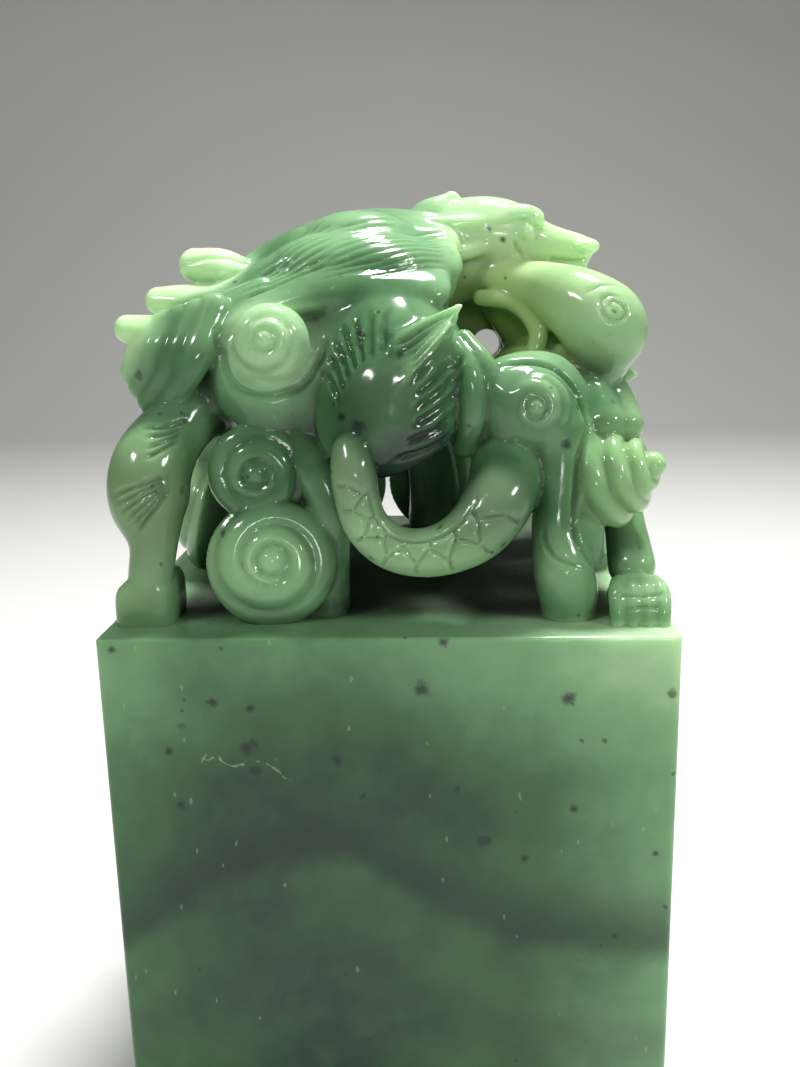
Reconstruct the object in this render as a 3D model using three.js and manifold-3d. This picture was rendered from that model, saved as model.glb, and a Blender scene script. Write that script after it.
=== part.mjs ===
// A square seal of green nephrite with a crouching dragon carved in openwork on its top, all one stone.
// +Z is up, the dragon faces +Y, and the origin is the centre of the seal's underside. Millimetres.
import * as THREE from "three";
import { mergeVertices } from "three/addons/utils/BufferGeometryUtils.js";
import Module from "manifold-3d";

// Driving dimensions.
const BLOCK_WIDTH = 50; // left to right
const BLOCK_DEPTH = 50; // back to front
const BLOCK_HEIGHT = 60; // underside to the ground top face
const EDGE_CHAMFER = 0.5; // the narrow flats ground along the block's edges
const DRAGON_HEIGHT = 38.4; // the block's top face to the tip of the crest

// The dragon is drawn on a square plan of DRAWN_SPAN and DRAWN_HEIGHT tall, with heights counted from the
// block's top. Its stations are x, y, height and radius in that drawing, and the whole is sized to the block.
const DRAWN_SPAN = 50;
const DRAWN_HEIGHT = 38.4;

const wasm = await Module();
wasm.setup();

const TURN = 2 * Math.PI;
const SCROLL_STEPS = 10; // steps in one turn of a scroll
const SOFT_EDGE = 0.4; // the worn edges of the squared left heel
const HOLE_RADIUS = 1.5; // the drill hole through the right shoulder
const HOLE_LENGTH = 40;
const UP = new THREE.Vector3(0, 0, 1);

// A closed geometry with only its positions, each shared corner stored once.
function welded(geometry) {
  geometry.deleteAttribute("normal");
  geometry.deleteAttribute("uv");
  return mergeVertices(geometry);
}

// The solid that a welded geometry encloses.
function solid(geometry) {
  return new wasm.Manifold(
    new wasm.Mesh({
      numProp: 3,
      vertProperties: new Float32Array(geometry.getAttribute("position").array),
      triVerts: new Uint32Array(geometry.index.array),
    }),
  );
}

// The radius at a share of the way along the stations.
function girthAt(stations, share) {
  const place = share * (stations.length - 1);
  const first = Math.min(Math.floor(place), stations.length - 2);
  return THREE.MathUtils.lerp(stations[first][3], stations[first + 1][3], place - first);
}

// A limb: a round-ended rod bent along a smooth curve through the stations, with the radius each one gives.
// wide stretches its section across the up direction, and thick along it.
function limb(
  stations,
  { sides = 7, steps = stations.length + 1, caps = 1, up = [0, 1, 0], wide = 1, thick = 1 } = {},
) {
  const path = new THREE.CatmullRomCurve3(stations.map(([x, y, z]) => new THREE.Vector3(x, y, z)));
  const upward = new THREE.Vector3(...up);
  const shape = welded(new THREE.CapsuleGeometry(1, steps, caps, sides, steps));
  const point = shape.getAttribute("position");
  for (let i = 0; i < point.count; i++) {
    const along = THREE.MathUtils.clamp(point.getY(i), -steps / 2, steps / 2);
    const share = along / steps + 0.5;
    const girth = girthAt(stations, share);
    const ahead = path.getTangent(share);
    const across = new THREE.Vector3().crossVectors(ahead, upward).normalize();
    const above = new THREE.Vector3().crossVectors(across, ahead);
    const place = path
      .getPoint(share)
      .addScaledVector(ahead, (point.getY(i) - along) * girth)
      .addScaledVector(across, point.getX(i) * girth * wide)
      .addScaledVector(above, point.getZ(i) * girth * thick);
    point.setXYZ(i, place.x, place.y, place.z);
  }
  return solid(shape);
}

// A lobe: an ellipsoid with its own radius along each axis.
function lobe(centre, radii, { sides = 10, rings = 6 } = {}) {
  const shape = welded(new THREE.SphereGeometry(1, sides, rings));
  shape.scale(...radii).translate(...centre);
  return solid(shape);
}

// A swell over a free outline, which is a closed curve through its places. It rises in three rings to the
// peak, as a round dome does, and its rim is drawn to one place at the back.
function mound(outline, peak, back) {
  const edge = new THREE.CatmullRomCurve3(
    outline.map((place) => new THREE.Vector3(...place)),
    true,
  );
  const middle = new THREE.Vector3();
  outline.forEach((place) => middle.addScaledVector(new THREE.Vector3(...place), 1 / outline.length));
  const rise = new THREE.Vector3(...peak).sub(middle);
  const sides = outline.length;
  const corners = [];
  for (const reach of [1, 0.82, 0.5]) {
    for (let i = 0; i < sides; i++) {
      const corner = edge
        .getPoint(i / sides)
        .lerp(middle, 1 - reach)
        .addScaledVector(rise, (1 - reach * reach) ** 0.6);
      corners.push(corner.x, corner.y, corner.z);
    }
  }
  corners.push(...peak, ...back);
  const top = 3 * sides;
  const faces = [];
  for (let i = 0; i < sides; i++) {
    const next = (i + 1) % sides;
    for (const ring of [0, sides]) {
      const inner = ring + sides;
      faces.push([ring + i, ring + next, inner + next], [ring + i, inner + next, inner + i]);
    }
    faces.push([2 * sides + i, 2 * sides + next, top], [next, i, top + 1]);
  }
  const geometry = new THREE.BufferGeometry();
  geometry.setAttribute("position", new THREE.Float32BufferAttribute(corners, 3));
  geometry.setIndex(faces.flat());
  const shape = solid(geometry);
  return shape.volume() > 0 ? shape : solid(turnedOut(geometry));
}

// The same closed geometry with its faces turned over.
function turnedOut(geometry) {
  const corner = Array.from(geometry.index.array);
  geometry.setIndex(corner.map((_, i) => corner[3 * Math.floor(i / 3) + 2 - (i % 3)]));
  return geometry;
}

// A frame of three directions for something that faces one way: to its right, up its face and out of it.
function faceFrame(facing) {
  const out = new THREE.Vector3(...facing).normalize();
  const right = new THREE.Vector3().crossVectors(UP, out).normalize();
  const top = new THREE.Vector3().crossVectors(out, right);
  return { right, top, out };
}

// A cloud scroll: one strip that winds in over a dome, from an angle at its rim to a bead in the middle. Its
// crest stands proud and its edge is a groove, which the next turn in shares. depth is how far it stands out.
function scroll(
  [x, y, z],
  radius,
  { facing = [0, -1, 0], start = 0, turns = 1.5, hand = 1, depth = 0.7 } = {},
) {
  const { right, top, out } = faceFrame(facing);
  const last = Math.round(SCROLL_STEPS * turns);
  const pitch = 1 / (turns + 0.9);
  const corners = [];
  const add = (reach, angle, height) => {
    const corner = new THREE.Vector3(x, y, z)
      .addScaledVector(right, radius * reach * Math.cos(angle))
      .addScaledVector(top, radius * reach * Math.sin(angle))
      .addScaledVector(out, radius * height);
    corners.push(corner.x, corner.y, corner.z);
  };
  for (let i = 0; i <= last; i++) {
    const angle = start + (hand * TURN * i) / SCROLL_STEPS;
    const groove = 1 - (pitch * i) / SCROLL_STEPS;
    const crest = groove - pitch / 2;
    add(groove, angle, depth * Math.sqrt(1 - groove * groove) - 0.3 * pitch * Math.min(1, i / SCROLL_STEPS));
    add(crest, angle, depth * Math.sqrt(1 - crest * crest) + 0.12 * pitch);
  }
  add(0, 0, depth + 0.25 * pitch);
  add(0, 0, -0.6 * depth);
  const groove = (i) => 2 * i;
  const crest = (i) => 2 * i + 1;
  const bead = 2 * last + 2;
  const back = 2 * last + 3;
  const faces = [[groove(0), crest(0), groove(SCROLL_STEPS)]];
  for (let i = 0; i < last; i++) {
    faces.push([groove(i), groove(i + 1), crest(i + 1)], [groove(i), crest(i + 1), crest(i)]);
    const inner = i + SCROLL_STEPS;
    if (inner < last) {
      faces.push([crest(i), crest(i + 1), groove(inner + 1)], [crest(i), groove(inner + 1), groove(inner)]);
    } else {
      faces.push([crest(i), crest(i + 1), bead]);
    }
    if (i < SCROLL_STEPS) faces.push([groove(i + 1), groove(i), back]);
  }
  faces.push([crest(last), groove(last), bead], [groove(last), crest(last - SCROLL_STEPS), bead]);
  faces.push([groove(0), groove(SCROLL_STEPS), back]);
  const geometry = new THREE.BufferGeometry();
  geometry.setAttribute("position", new THREE.Float32BufferAttribute(corners, 3));
  geometry.setIndex(faces.map((face) => (hand > 0 ? face : face.toReversed())).flat());
  return solid(geometry);
}

// A paw: a low pad with three toes that bend down to the block, pointing along heading, an angle from +X.
// A toe's stations are distance ahead of the pad, share of the spread to its side, height and radius.
function paw([x, y], heading, { size = 1 } = {}) {
  const ahead = new THREE.Vector3(Math.cos(heading), Math.sin(heading), 0);
  const side = new THREE.Vector3(-ahead.y, ahead.x, 0);
  const spread = 2;
  const toe = [
    [0.4, 0.75, 3.2, 1.15],
    [2.2, 0.95, 2.7, 1.15],
    [3.1, 1, 1.2, 0.95],
    [3.6, 1, -0.2, 0.7],
  ];
  const toeOn = (hand) =>
    toe.map(([along, share, height, radius]) => [
      x + size * (ahead.x * along + side.x * hand * share * spread),
      y + size * (ahead.y * along + side.y * hand * share * spread),
      size * height,
      size * radius,
    ]);
  return [
    lobe([x, y, 1.9 * size], [2.8 * size, 2.8 * size, 2.5 * size], { sides: 8, rings: 4 }),
    ...[-1, 0, 1].map((hand) => limb(toeOn(hand), { sides: 5, steps: 3, up: side.toArray() })),
  ];
}

// Locks of hair: flat pointed limbs that leave one line of roots and end on one line of tips.
function locks(roots, bends, tips, { count, radius, tip = 0.3, up = [0, -1, 0] }) {
  const spread = (line, share) => {
    const curve = new THREE.CatmullRomCurve3(line.map((point) => new THREE.Vector3(...point)));
    return curve.getPoint(share).toArray();
  };
  const pieces = [];
  for (let i = 0; i < count; i++) {
    const share = i / (count - 1);
    pieces.push(
      limb(
        [
          [...spread(roots, share), radius],
          [...spread(bends, share), radius],
          [...spread(tips, share), tip],
        ],
        { sides: 4, steps: 3, up, thick: 0.8 },
      ),
    );
  }
  return pieces;
}

// The rump, the arched back, the belly, the chest and the flank that fills in towards the left haunch.
function body() {
  const back = [
    [0, -12, 21.5, 7.6],
    [-3.2, -5, 27.4, 7.6],
    [-4.4, 3, 29.2, 7.5],
    [-3.6, 11, 26.2, 7.4],
    [-2.4, 15, 21.4, 6.6],
  ];
  const belly = [
    [0, -11, 19, 6.4],
    [-3, -2, 19, 8.4],
    [-2.6, 9.6, 18.6, 8.2],
  ];
  const up = [0, 0, 1];
  return [
    limb(back, { sides: 10, steps: 6, up }),
    limb(belly, { sides: 7, steps: 3, up }),
    lobe([-6.6, -12.6, 20.4], [5.4, 5.4, 6.6], { sides: 8, rings: 4 }),
    lobe([-3, -7.6, 29.4], [9.6, 6.6, 5], { sides: 8, rings: 5 }),
  ];
}

// The two haunches, each with its spiral, and the two bands between the tuft and the right one.
function haunches() {
  const bands = [
    [
      [5.4, -15.8, 24.4, 1],
      [7.2, -17.8, 21.8, 1.15],
      [7.7, -18, 18.2, 1.15],
      [6.9, -16.6, 15, 1],
    ],
    [
      [7, -14.6, 24.2, 1],
      [8.9, -16.9, 21.6, 1.15],
      [9.5, -17.1, 18, 1.15],
      [8.6, -15.4, 14.8, 1],
    ],
  ];
  const thigh = [
    [8.3, -15, 21.5],
    [11.8, -14, 23.2],
    [16, -13, 22.6],
    [18.5, -13, 19.4],
    [18.2, -15, 14.6],
    [13.4, -16, 14.2],
    [8.9, -15, 15.2],
  ];
  return [
    lobe([-10.9, -13.2, 21.2], [5.7, 5.4, 5.6], { sides: 8, rings: 5 }),
    lobe([-10.4, -13.6, 18.6], [4.6, 4.6, 3.4], { sides: 7, rings: 4 }),
    scroll([-10.1, -15.8, 23.3], 5, { start: 0.47 * TURN, turns: 1.3, depth: 0.86 }),
    mound(thigh, [13, -19.6, 18.4], [13, -9, 18.5]),
    scroll([13.2, -17.2, 18.5], 3.9, { start: 0.4 * TURN, turns: 1.3, hand: -1, depth: 0.84 }),
    ...bands.map((band) => limb(band, { sides: 5, steps: 4 })),
  ];
}

// The hind legs and what they stand on: on the right a shank with the sinew behind it and a paw beside it, on
// the left a thick calf over a squared heel.
function hindLegs() {
  const rightShank = [
    [15.4, -15.8, 16, 3],
    [15.2, -17.2, 11.2, 2.3],
    [14.9, -18, 7.8, 2.1],
    [15.5, -18.6, 4.6, 2.7],
    [16.1, -18.6, 1.6, 2.7],
    [16.1, -18.4, -0.4, 2.4],
  ];
  const rightSinew = [
    [17.4, -14.6, 15, 2.2],
    [17.6, -16.4, 10.4, 1.7],
    [17.9, -17.4, 6.8, 1.5],
    [18.3, -17.4, 4.4, 1],
  ];
  const rightPastern = [
    [20.6, -9, 14, 2.6],
    [21.8, -11, 8.5, 1.9],
    [22.2, -15.5, 3.6, 2.2],
  ];
  const leftCalf = [
    [-15.5, -11.5, 20.5, 3.8],
    [-18.8, -15, 17.3, 3.1],
    [-20.8, -18.2, 13.8, 3.6],
    [-21, -19.3, 10.6, 3.5],
    [-20.7, -19.8, 7.2, 2.2],
    [-21.2, -19.8, 4.2, 2],
  ];
  const heel = new THREE.Shape([
    new THREE.Vector2(-24.1, -0.8),
    new THREE.Vector2(-19.4, -0.8),
    new THREE.Vector2(-19.3, 4.5),
    new THREE.Vector2(-22.4, 4.8),
    new THREE.Vector2(-24.1, 3.1),
  ]);
  const heelShape = new THREE.ExtrudeGeometry(heel, {
    depth: 6,
    bevelSize: SOFT_EDGE,
    bevelThickness: SOFT_EDGE,
    bevelSegments: 1,
  });
  heelShape.rotateX(TURN / 4).translate(0, -15.2, 0);
  return [
    limb(rightShank, { sides: 7, steps: 7 }),
    limb(rightSinew, { sides: 5, steps: 4 }),
    limb(rightPastern, { sides: 7, steps: 3 }),
    ...paw([22, -18.6], -TURN / 4, { size: 0.88 }),
    limb(leftCalf, { sides: 8, steps: 7 }),
    solid(welded(heelShape)),
  ];
}

// The forelegs: shoulders that swell from the chest, each with its spiral, and paws at the front corners.
function forelegs() {
  const rightLeg = [
    [7, 7.5, 28, 4.6],
    [13.6, 9, 26.4, 5],
    [18.6, 12.4, 22, 4.8],
    [20.4, 15.6, 15.4, 4.2],
    [21.2, 17.6, 8.6, 3.2],
    [21.4, 18.6, 3, 2.8],
  ];
  const leftLeg = [
    [-9, 8, 26.4, 5],
    [-15, 10.4, 23.6, 5.2],
    [-19.2, 14, 17, 4.6],
    [-20.8, 17, 9.6, 3.4],
    [-21.2, 18.6, 3, 2.8],
  ];
  return [
    limb(rightLeg, { sides: 7, steps: 5 }),
    limb(leftLeg, { sides: 7, steps: 5 }),
    lobe([11.6, 9.6, 20.4], [6.4, 6, 6.6], { sides: 8, rings: 4 }),
    lobe([-12.6, 9.6, 20], [6.4, 6, 6.6], { sides: 8, rings: 4 }),
    ...paw([21.4, 19.2], TURN / 4),
    ...paw([-21.2, 19.2], TURN / 4),
    scroll([-15.8, 13.4, 21.6], 5, { facing: [-0.5, 0.8, 0.2], start: 0.1 * TURN, depth: 0.6 }),
    scroll([15.6, 13.2, 21.8], 4.8, { facing: [0.45, 0.85, 0.2], start: 0.4 * TURN, hand: -1, depth: 0.6 }),
  ];
}

// The tail: it comes out beside the right haunch, hangs in a loop and ends against the tuft.
function tail() {
  const loop = [
    [11.4, -11, 14.8, 3.1],
    [10.9, -16, 13.4, 3.3],
    [9.9, -19.6, 10.9, 3.1],
    [8, -21, 8.5, 2.8],
    [5.4, -21.5, 7, 2.35],
    [2.6, -21.6, 6.6, 2.1],
    [0.2, -21.6, 7.3, 2],
    [-1.6, -21.6, 9.2, 1.95],
    [-2.3, -21.6, 11.6, 1.95],
    [-2.5, -21.5, 13.6, 2],
    [-2.6, -20.8, 15.2, 1.9],
  ];
  return [limb(loop, { sides: 8, steps: 14, caps: 2 })];
}

// The tuft over the tail: a leaf-shaped mound with its point at the upper right, flame locks that sweep out
// over its right edge, and locks that fan out over its left edge and top.
function tuft() {
  const outline = [
    [-6.3, -16.6, 18.4],
    [-5.6, -16.4, 21.5],
    [-3.9, -16, 24.4],
    [-1.8, -15.8, 26.2],
    [0.8, -15.8, 27],
    [3.4, -16.6, 26.4],
    [5.8, -17.6, 26],
    [5.9, -17.4, 23.9],
    [6.5, -17.6, 21.3],
    [6.4, -17.6, 18.3],
    [5.7, -18, 15.8],
    [3.1, -18.6, 13.9],
    [0, -18.8, 12.7],
    [-2.4, -18.6, 12.8],
    [-5.4, -17.6, 15],
  ];
  const point = [
    [1.6, -19, 23.2, 2.2],
    [4, -18.6, 25, 1.6],
    [6.6, -17.8, 27.2, 0.3],
  ];
  const swell = [0, -1, 0];
  const rightLocks = locks(
    [
      [2, -20.4, 22],
      [2.6, -20.6, 18.6],
      [1.6, -20, 15.4],
    ],
    [
      [4.4, -19.8, 23.4],
      [4.6, -20, 19.8],
      [3.4, -19.4, 15.6],
    ],
    [
      [6.2, -18.2, 24.8],
      [6.6, -18.2, 21.2],
      [5.4, -18.6, 16.4],
    ],
    { count: 5, radius: 1.2, up: swell },
  );
  const leftLocks = locks(
    [
      [-3.4, -19.8, 19],
      [-1, -20.2, 22.4],
    ],
    [
      [-4.6, -19, 20.8],
      [-1.6, -19.2, 24.4],
    ],
    [
      [-5.6, -17, 22],
      [-1.4, -16.4, 26.6],
    ],
    { count: 4, radius: 1.2, up: swell },
  );
  return [
    mound(outline, [0.4, -21.9, 19.6], [0, -12, 20]),
    limb(point, { sides: 5, steps: 3, up: swell, thick: 0.7 }),
    ...rightLocks,
    ...leftLocks,
  ];
}

// The mane: long locks that leave the neck, flow left over the back and end in three raised tips, with more
// falling down the far side.
function mane() {
  const wide = 1.5;
  const up = [0, -0.5, 1];
  const upperLock = [
    [5, -3.5, 33.6, 2],
    [-1, -4.5, 34.2, 2.2],
    [-8, -5, 32.6, 2.2],
    [-12.8, -7, 29.8, 2],
    [-16, -8, 31, 1.8],
    [-18.2, -8, 31.4, 1.3],
  ];
  const middleLock = [
    [5, -7, 31.4, 2],
    [-2, -9, 31.8, 2.2],
    [-10, -9.5, 30, 2.1],
    [-15.6, -10, 27.8, 1.8],
    [-19.2, -10, 28, 1.6],
    [-21.4, -10, 28.4, 1],
  ];
  const lowerLock = [
    [4, -11, 29.2, 2],
    [-4, -12.6, 29.6, 2.1],
    [-11, -12.6, 28, 2],
    [-16, -13, 26, 2.2],
    [-20, -14, 25.2, 1.7],
    [-23.4, -15, 25.8, 0.9],
  ];
  const farLocks = locks(
    [
      [5, 2, 35],
      [-6, 4, 35.6],
      [-9.5, 0, 33.6],
    ],
    [
      [5, 11, 31.6],
      [-6, 13, 31],
      [-14, 4, 29.6],
    ],
    [
      [4.4, 18.4, 25],
      [-6, 20, 23.6],
      [-18, 6, 24],
    ],
    { count: 5, radius: 2.4, up: [0, 0.3, 1] },
  );
  const nearLocks = [upperLock, middleLock, lowerLock].map((lock) => limb(lock, { sides: 6, wide, up }));
  return nearLocks.concat(farLocks);
}

// The fluted fan that drops from the lowest tip over the left hip.
function fan() {
  const hip = [
    [-12, -10.6, 25.6, 3.2],
    [-16.6, -12.2, 23.6, 3.4],
    [-18.6, -13.2, 20.4, 2.8],
  ];
  const flutes = locks(
    [
      [-19.4, -14.4, 25.8],
      [-14.4, -15, 27.2],
    ],
    [
      [-21.4, -15.4, 23.8],
      [-16.2, -17, 22.6],
    ],
    [
      [-22.9, -14.8, 21.4],
      [-20, -15.4, 17.8],
    ],
    { count: 4, radius: 1.9, tip: 1.3 },
  );
  return [limb(hip, { steps: 3 }), ...flutes];
}

// The cloud scrolls that close in the space under the body, on stems that run up to it.
function clouds() {
  const stems = [
    [
      [-6.8, -11.4, 15.5, 3],
      [-6, -14.4, 9, 2.2],
      [-6, -16, 4.8, 2.1],
      [-6.6, -17, -0.4, 2],
    ],
    [
      [-10.8, -11, 18, 4.6],
      [-10.8, -13, 12.6, 4.4],
      [-9.8, -15.6, 7, 2.6],
    ],
    [
      [-6.2, -15.8, 6.4, 2.6],
      [-5, -16.6, 9.6, 2.3],
      [-6.6, -16, 13.4, 2.4],
      [-8.6, -14.6, 16.6, 2.4],
    ],
    [
      [-5.6, -16.6, 7, 1.9],
      [-5.8, -17, -0.4, 2],
    ],
    [
      [18.4, 1, 20, 3.4],
      [19.4, 2, 12, 2.6],
      [18.8, 2.4, -0.4, 3.2],
    ],
    [
      [-15.5, 1, 20, 3.4],
      [-18.8, 2, 12, 2.6],
      [-18.8, 2.4, -0.4, 3.2],
    ],
    [
      [-6, 12, 18, 4],
      [-8.6, 15, 9, 4.4],
      [-9, 15.4, -0.4, 4.4],
    ],
    [
      [2, 12.6, 18, 4],
      [4.8, 15, 9, 4.4],
      [5, 15.4, -0.4, 4.4],
    ],
  ];
  const low = { facing: [0.12, -1, 0.24], start: 0.2 * TURN, turns: 1.6, depth: 0.42 };
  return [
    ...stems.map((stem) => limb(stem, { sides: 6, steps: 3 })),
    lobe([-10.2, -16.2, 5.1], [5.6, 3.2, 5.6], { sides: 8, rings: 5 }),
    scroll([-10.3, -18.9, 5.3], 5.8, low),
    scroll([-11.6, -17.2, 12.9], 4.5, { facing: [0.05, -1, 0.1], start: 0.65 * TURN, depth: 0.42 }),
    scroll([19.6, 2.4, 5.8], 6.4, { facing: [1, 0, 0.2], start: 0.3 * TURN, depth: 0.6 }),
    scroll([-19.8, 1.4, 5.8], 6.4, { facing: [-1, 0, 0.2], start: 0.2 * TURN, hand: -1, depth: 0.6 }),
    scroll([-9.6, 17, 5.8], 6.6, { facing: [0, 1, 0.2], start: 0.2 * TURN, depth: 0.7 }),
    scroll([5.6, 17, 5.8], 6.6, { facing: [0, 1, 0.2], start: 0.3 * TURN, hand: -1, depth: 0.7 }),
    scroll([-2, 16.4, 14], 5.8, { facing: [0, 1, 0.1], start: 0.6 * TURN, hand: -1, depth: 0.7 }),
  ];
}

// The pointed scroll that stands out to the right of the hind leg, and the two ribs of hair above it.
function pointedScroll() {
  const root = [
    [14.5, -13.5, 12.4, 4.4],
    [17.5, -15, 12.2, 4.4],
  ];
  const ribs = [
    [
      [19, -12.6, 18.6, 1.9],
      [19.6, -14.6, 16.6, 2],
    ],
    [
      [21, -12, 18.2, 1.7],
      [21.4, -14, 16.4, 1.8],
    ],
  ];
  return [
    limb(root, { sides: 8, steps: 1 }),
    scroll([17.6, -15.6, 11.7], 4.7, { facing: [1, 0.02, 0.14], turns: 2.5, hand: -1, depth: 1.5 }),
    ...ribs.map((rib) => limb(rib, { sides: 6, steps: 1, caps: 2 })),
  ];
}

// The right shoulder: a thick curl that arches out from the neck and down, the wall of the hollow under it,
// and the leaf-like locks at its outer edge.
function shoulder() {
  const curl = [
    [7, 1, 30.6, 2.8],
    [11, -2.4, 29.2, 2.3],
    [15, -5, 28.3, 2.8],
    [18.4, -7.4, 26.7, 3.5],
    [20.4, -8, 24.6, 3.8],
    [20.2, -6.8, 22.2, 3],
  ];
  const wall = [
    [12.4, 2, 28, 3.6],
    [15.2, 1, 24.8, 4.4],
    [17.4, -3, 20.8, 3.8],
    [17.4, -8, 17.4, 3.8],
  ];
  const leaves = locks(
    [
      [19.4, -4, 23],
      [19, -6, 20],
    ],
    [
      [22.2, -4, 22.2],
      [21.6, -6.4, 18.8],
    ],
    [
      [24.1, -3.6, 22.2],
      [23.6, -6, 18],
    ],
    { count: 3, radius: 1.6 },
  );
  return [
    limb(curl, { sides: 8, steps: 7, caps: 2 }),
    limb(wall, { sides: 8, steps: 5 }),
    lobe([13.6, -3, 20], [5, 7, 3.4], { sides: 8, rings: 5 }),
    ...leaves,
  ];
}

// The head, turned to the right: skull, snout, jaw, brows, eyes, nose, crest, and horns and ears laid back.
function head() {
  const neck = [
    [-4, 5, 28.2, 6.4],
    [1.6, 3.2, 30.6, 5.4],
    [7, 0.4, 32, 4.4],
  ];
  const skull = [
    [4.6, -0.4, 33, 3.2],
    [8.4, -0.8, 33.7, 3.5],
    [12, -1, 33.4, 3.2],
    [15, -1, 32.7, 2.1],
    [18.6, -1, 32.1, 1.5],
  ];
  const jaw = [
    [8, -1, 31.2, 2.6],
    [12.6, -1, 30.4, 1.9],
    [16, -1, 30, 1.2],
    [18.8, -1, 30.4, 0.8],
  ];
  const crest = [
    [-1.2, -1, 32.8, 2.8],
    [2.4, -0.8, 34.6, 2.4],
    [4.9, -0.6, 36.4, 1.5],
    [6.3, -0.5, 37.9, 0.5],
  ];
  const middle = -1;
  const pieces = [
    limb(neck, { sides: 8, steps: 3, up: [0, 0, 1] }),
    limb(skull, { sides: 8, steps: 6, wide: 1.1 }),
    limb(jaw, { sides: 6, steps: 3, wide: 1.2 }),
    limb(crest, { sides: 6, steps: 3, wide: 1.2 }),
    lobe([19, middle, 32.5], [1.7, 2, 0.9], { sides: 8, rings: 4 }),
  ];
  for (const side of [-1, 1]) {
    const horn = [
      [11, middle + side * 2.6, 34.6, 1],
      [7, middle + side * 3.3, 34.3, 1],
      [3.4, middle + side * 3.9, 34.8, 0.4],
    ];
    const ear = [
      [9.4, middle + side * 3, 33, 1.4],
      [7, middle + side * 4.4, 32.4, 1.2],
      [4.4, middle + side * 5, 32.6, 0.4],
    ];
    pieces.push(
      lobe([12.6, middle + side * 1.7, 35.2], [2.5, 1.2, 1.4], { sides: 6, rings: 4 }),
      lobe([13.4, middle + side * 2.6, 33.8], [1.1, 0.9, 1], { sides: 6, rings: 4 }),
      limb(horn, { sides: 4, steps: 3 }),
      limb(ear, { sides: 4, steps: 3 }),
    );
  }
  return pieces;
}

// The seal block: square on plan, a narrow flat along every edge.
function sealBlock() {
  const halfWidth = BLOCK_WIDTH / 2;
  const halfDepth = BLOCK_DEPTH / 2;
  const outline = new THREE.Shape([
    new THREE.Vector2(halfWidth, -halfDepth + EDGE_CHAMFER),
    new THREE.Vector2(halfWidth, halfDepth - EDGE_CHAMFER),
    new THREE.Vector2(halfWidth - EDGE_CHAMFER, halfDepth),
    new THREE.Vector2(-halfWidth + EDGE_CHAMFER, halfDepth),
    new THREE.Vector2(-halfWidth, halfDepth - EDGE_CHAMFER),
    new THREE.Vector2(-halfWidth, -halfDepth + EDGE_CHAMFER),
    new THREE.Vector2(-halfWidth + EDGE_CHAMFER, -halfDepth),
    new THREE.Vector2(halfWidth - EDGE_CHAMFER, -halfDepth),
  ]);
  const shape = new THREE.ExtrudeGeometry(outline, {
    depth: BLOCK_HEIGHT - 2 * EDGE_CHAMFER,
    bevelSize: EDGE_CHAMFER,
    bevelThickness: EDGE_CHAMFER,
    bevelOffset: -EDGE_CHAMFER,
    bevelSegments: 1,
  });
  shape.translate(0, 0, EDGE_CHAMFER);
  return solid(welded(shape));
}

// A carving has no sealed pockets: where limbs close one off between them, it is stone.
function withoutPockets(body) {
  const shells = body.decompose().filter((shell) => shell.volume() > 0);
  return shells.reduce((whole, shell) => whole.add(shell));
}

// The drill hole that runs from the hollow under the right shoulder, sloping down to the front.
function drillHole() {
  const shape = welded(new THREE.CylinderGeometry(HOLE_RADIUS, HOLE_RADIUS, HOLE_LENGTH, 8));
  const fall = 0.05;
  const veer = 0.03;
  shape.rotateX(-fall).rotateZ(-veer).translate(9.9, HOLE_LENGTH / 2 - 8, 22.6);
  return solid(shape);
}

// The whole dragon, joined into one solid and sized to stand on the block.
function dragon() {
  const pieces = [
    ...body(),
    ...haunches(),
    ...hindLegs(),
    ...forelegs(),
    ...tail(),
    ...tuft(),
    ...mane(),
    ...fan(),
    ...clouds(),
    ...pointedScroll(),
    ...shoulder(),
    ...head(),
  ];
  return withoutPockets(pieces.reduce((whole, piece) => whole.add(piece)).subtract(drillHole()));
}

// The geometry of a finished solid.
function geometryOf(body) {
  const { vertProperties, triVerts } = body.getMesh();
  const geometry = new THREE.BufferGeometry();
  geometry.setAttribute("position", new THREE.BufferAttribute(new Float32Array(vertProperties), 3));
  geometry.setIndex(new THREE.BufferAttribute(new Uint32Array(triVerts), 1));
  return geometry;
}

const figure = geometryOf(dragon());
figure.scale(BLOCK_WIDTH / DRAWN_SPAN, BLOCK_DEPTH / DRAWN_SPAN, DRAGON_HEIGHT / DRAWN_HEIGHT);
figure.translate(0, 0, BLOCK_HEIGHT);
const sealGeometry = geometryOf(sealBlock().add(solid(figure)));
sealGeometry.computeVertexNormals();

const nephrite = new THREE.MeshStandardMaterial({ color: 0x4f8a58, roughness: 0.2, metalness: 0 });
const seal = new THREE.Mesh(sealGeometry, nephrite);
seal.name = "jade_seal";

const part = new THREE.Group();
part.add(seal);
export default part;
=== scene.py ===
import logging
import math
from dataclasses import dataclass, field
from enum import Enum
from typing import Iterable, Sequence

import bpy
import numpy as np
from mathutils import Matrix, Vector


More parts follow.
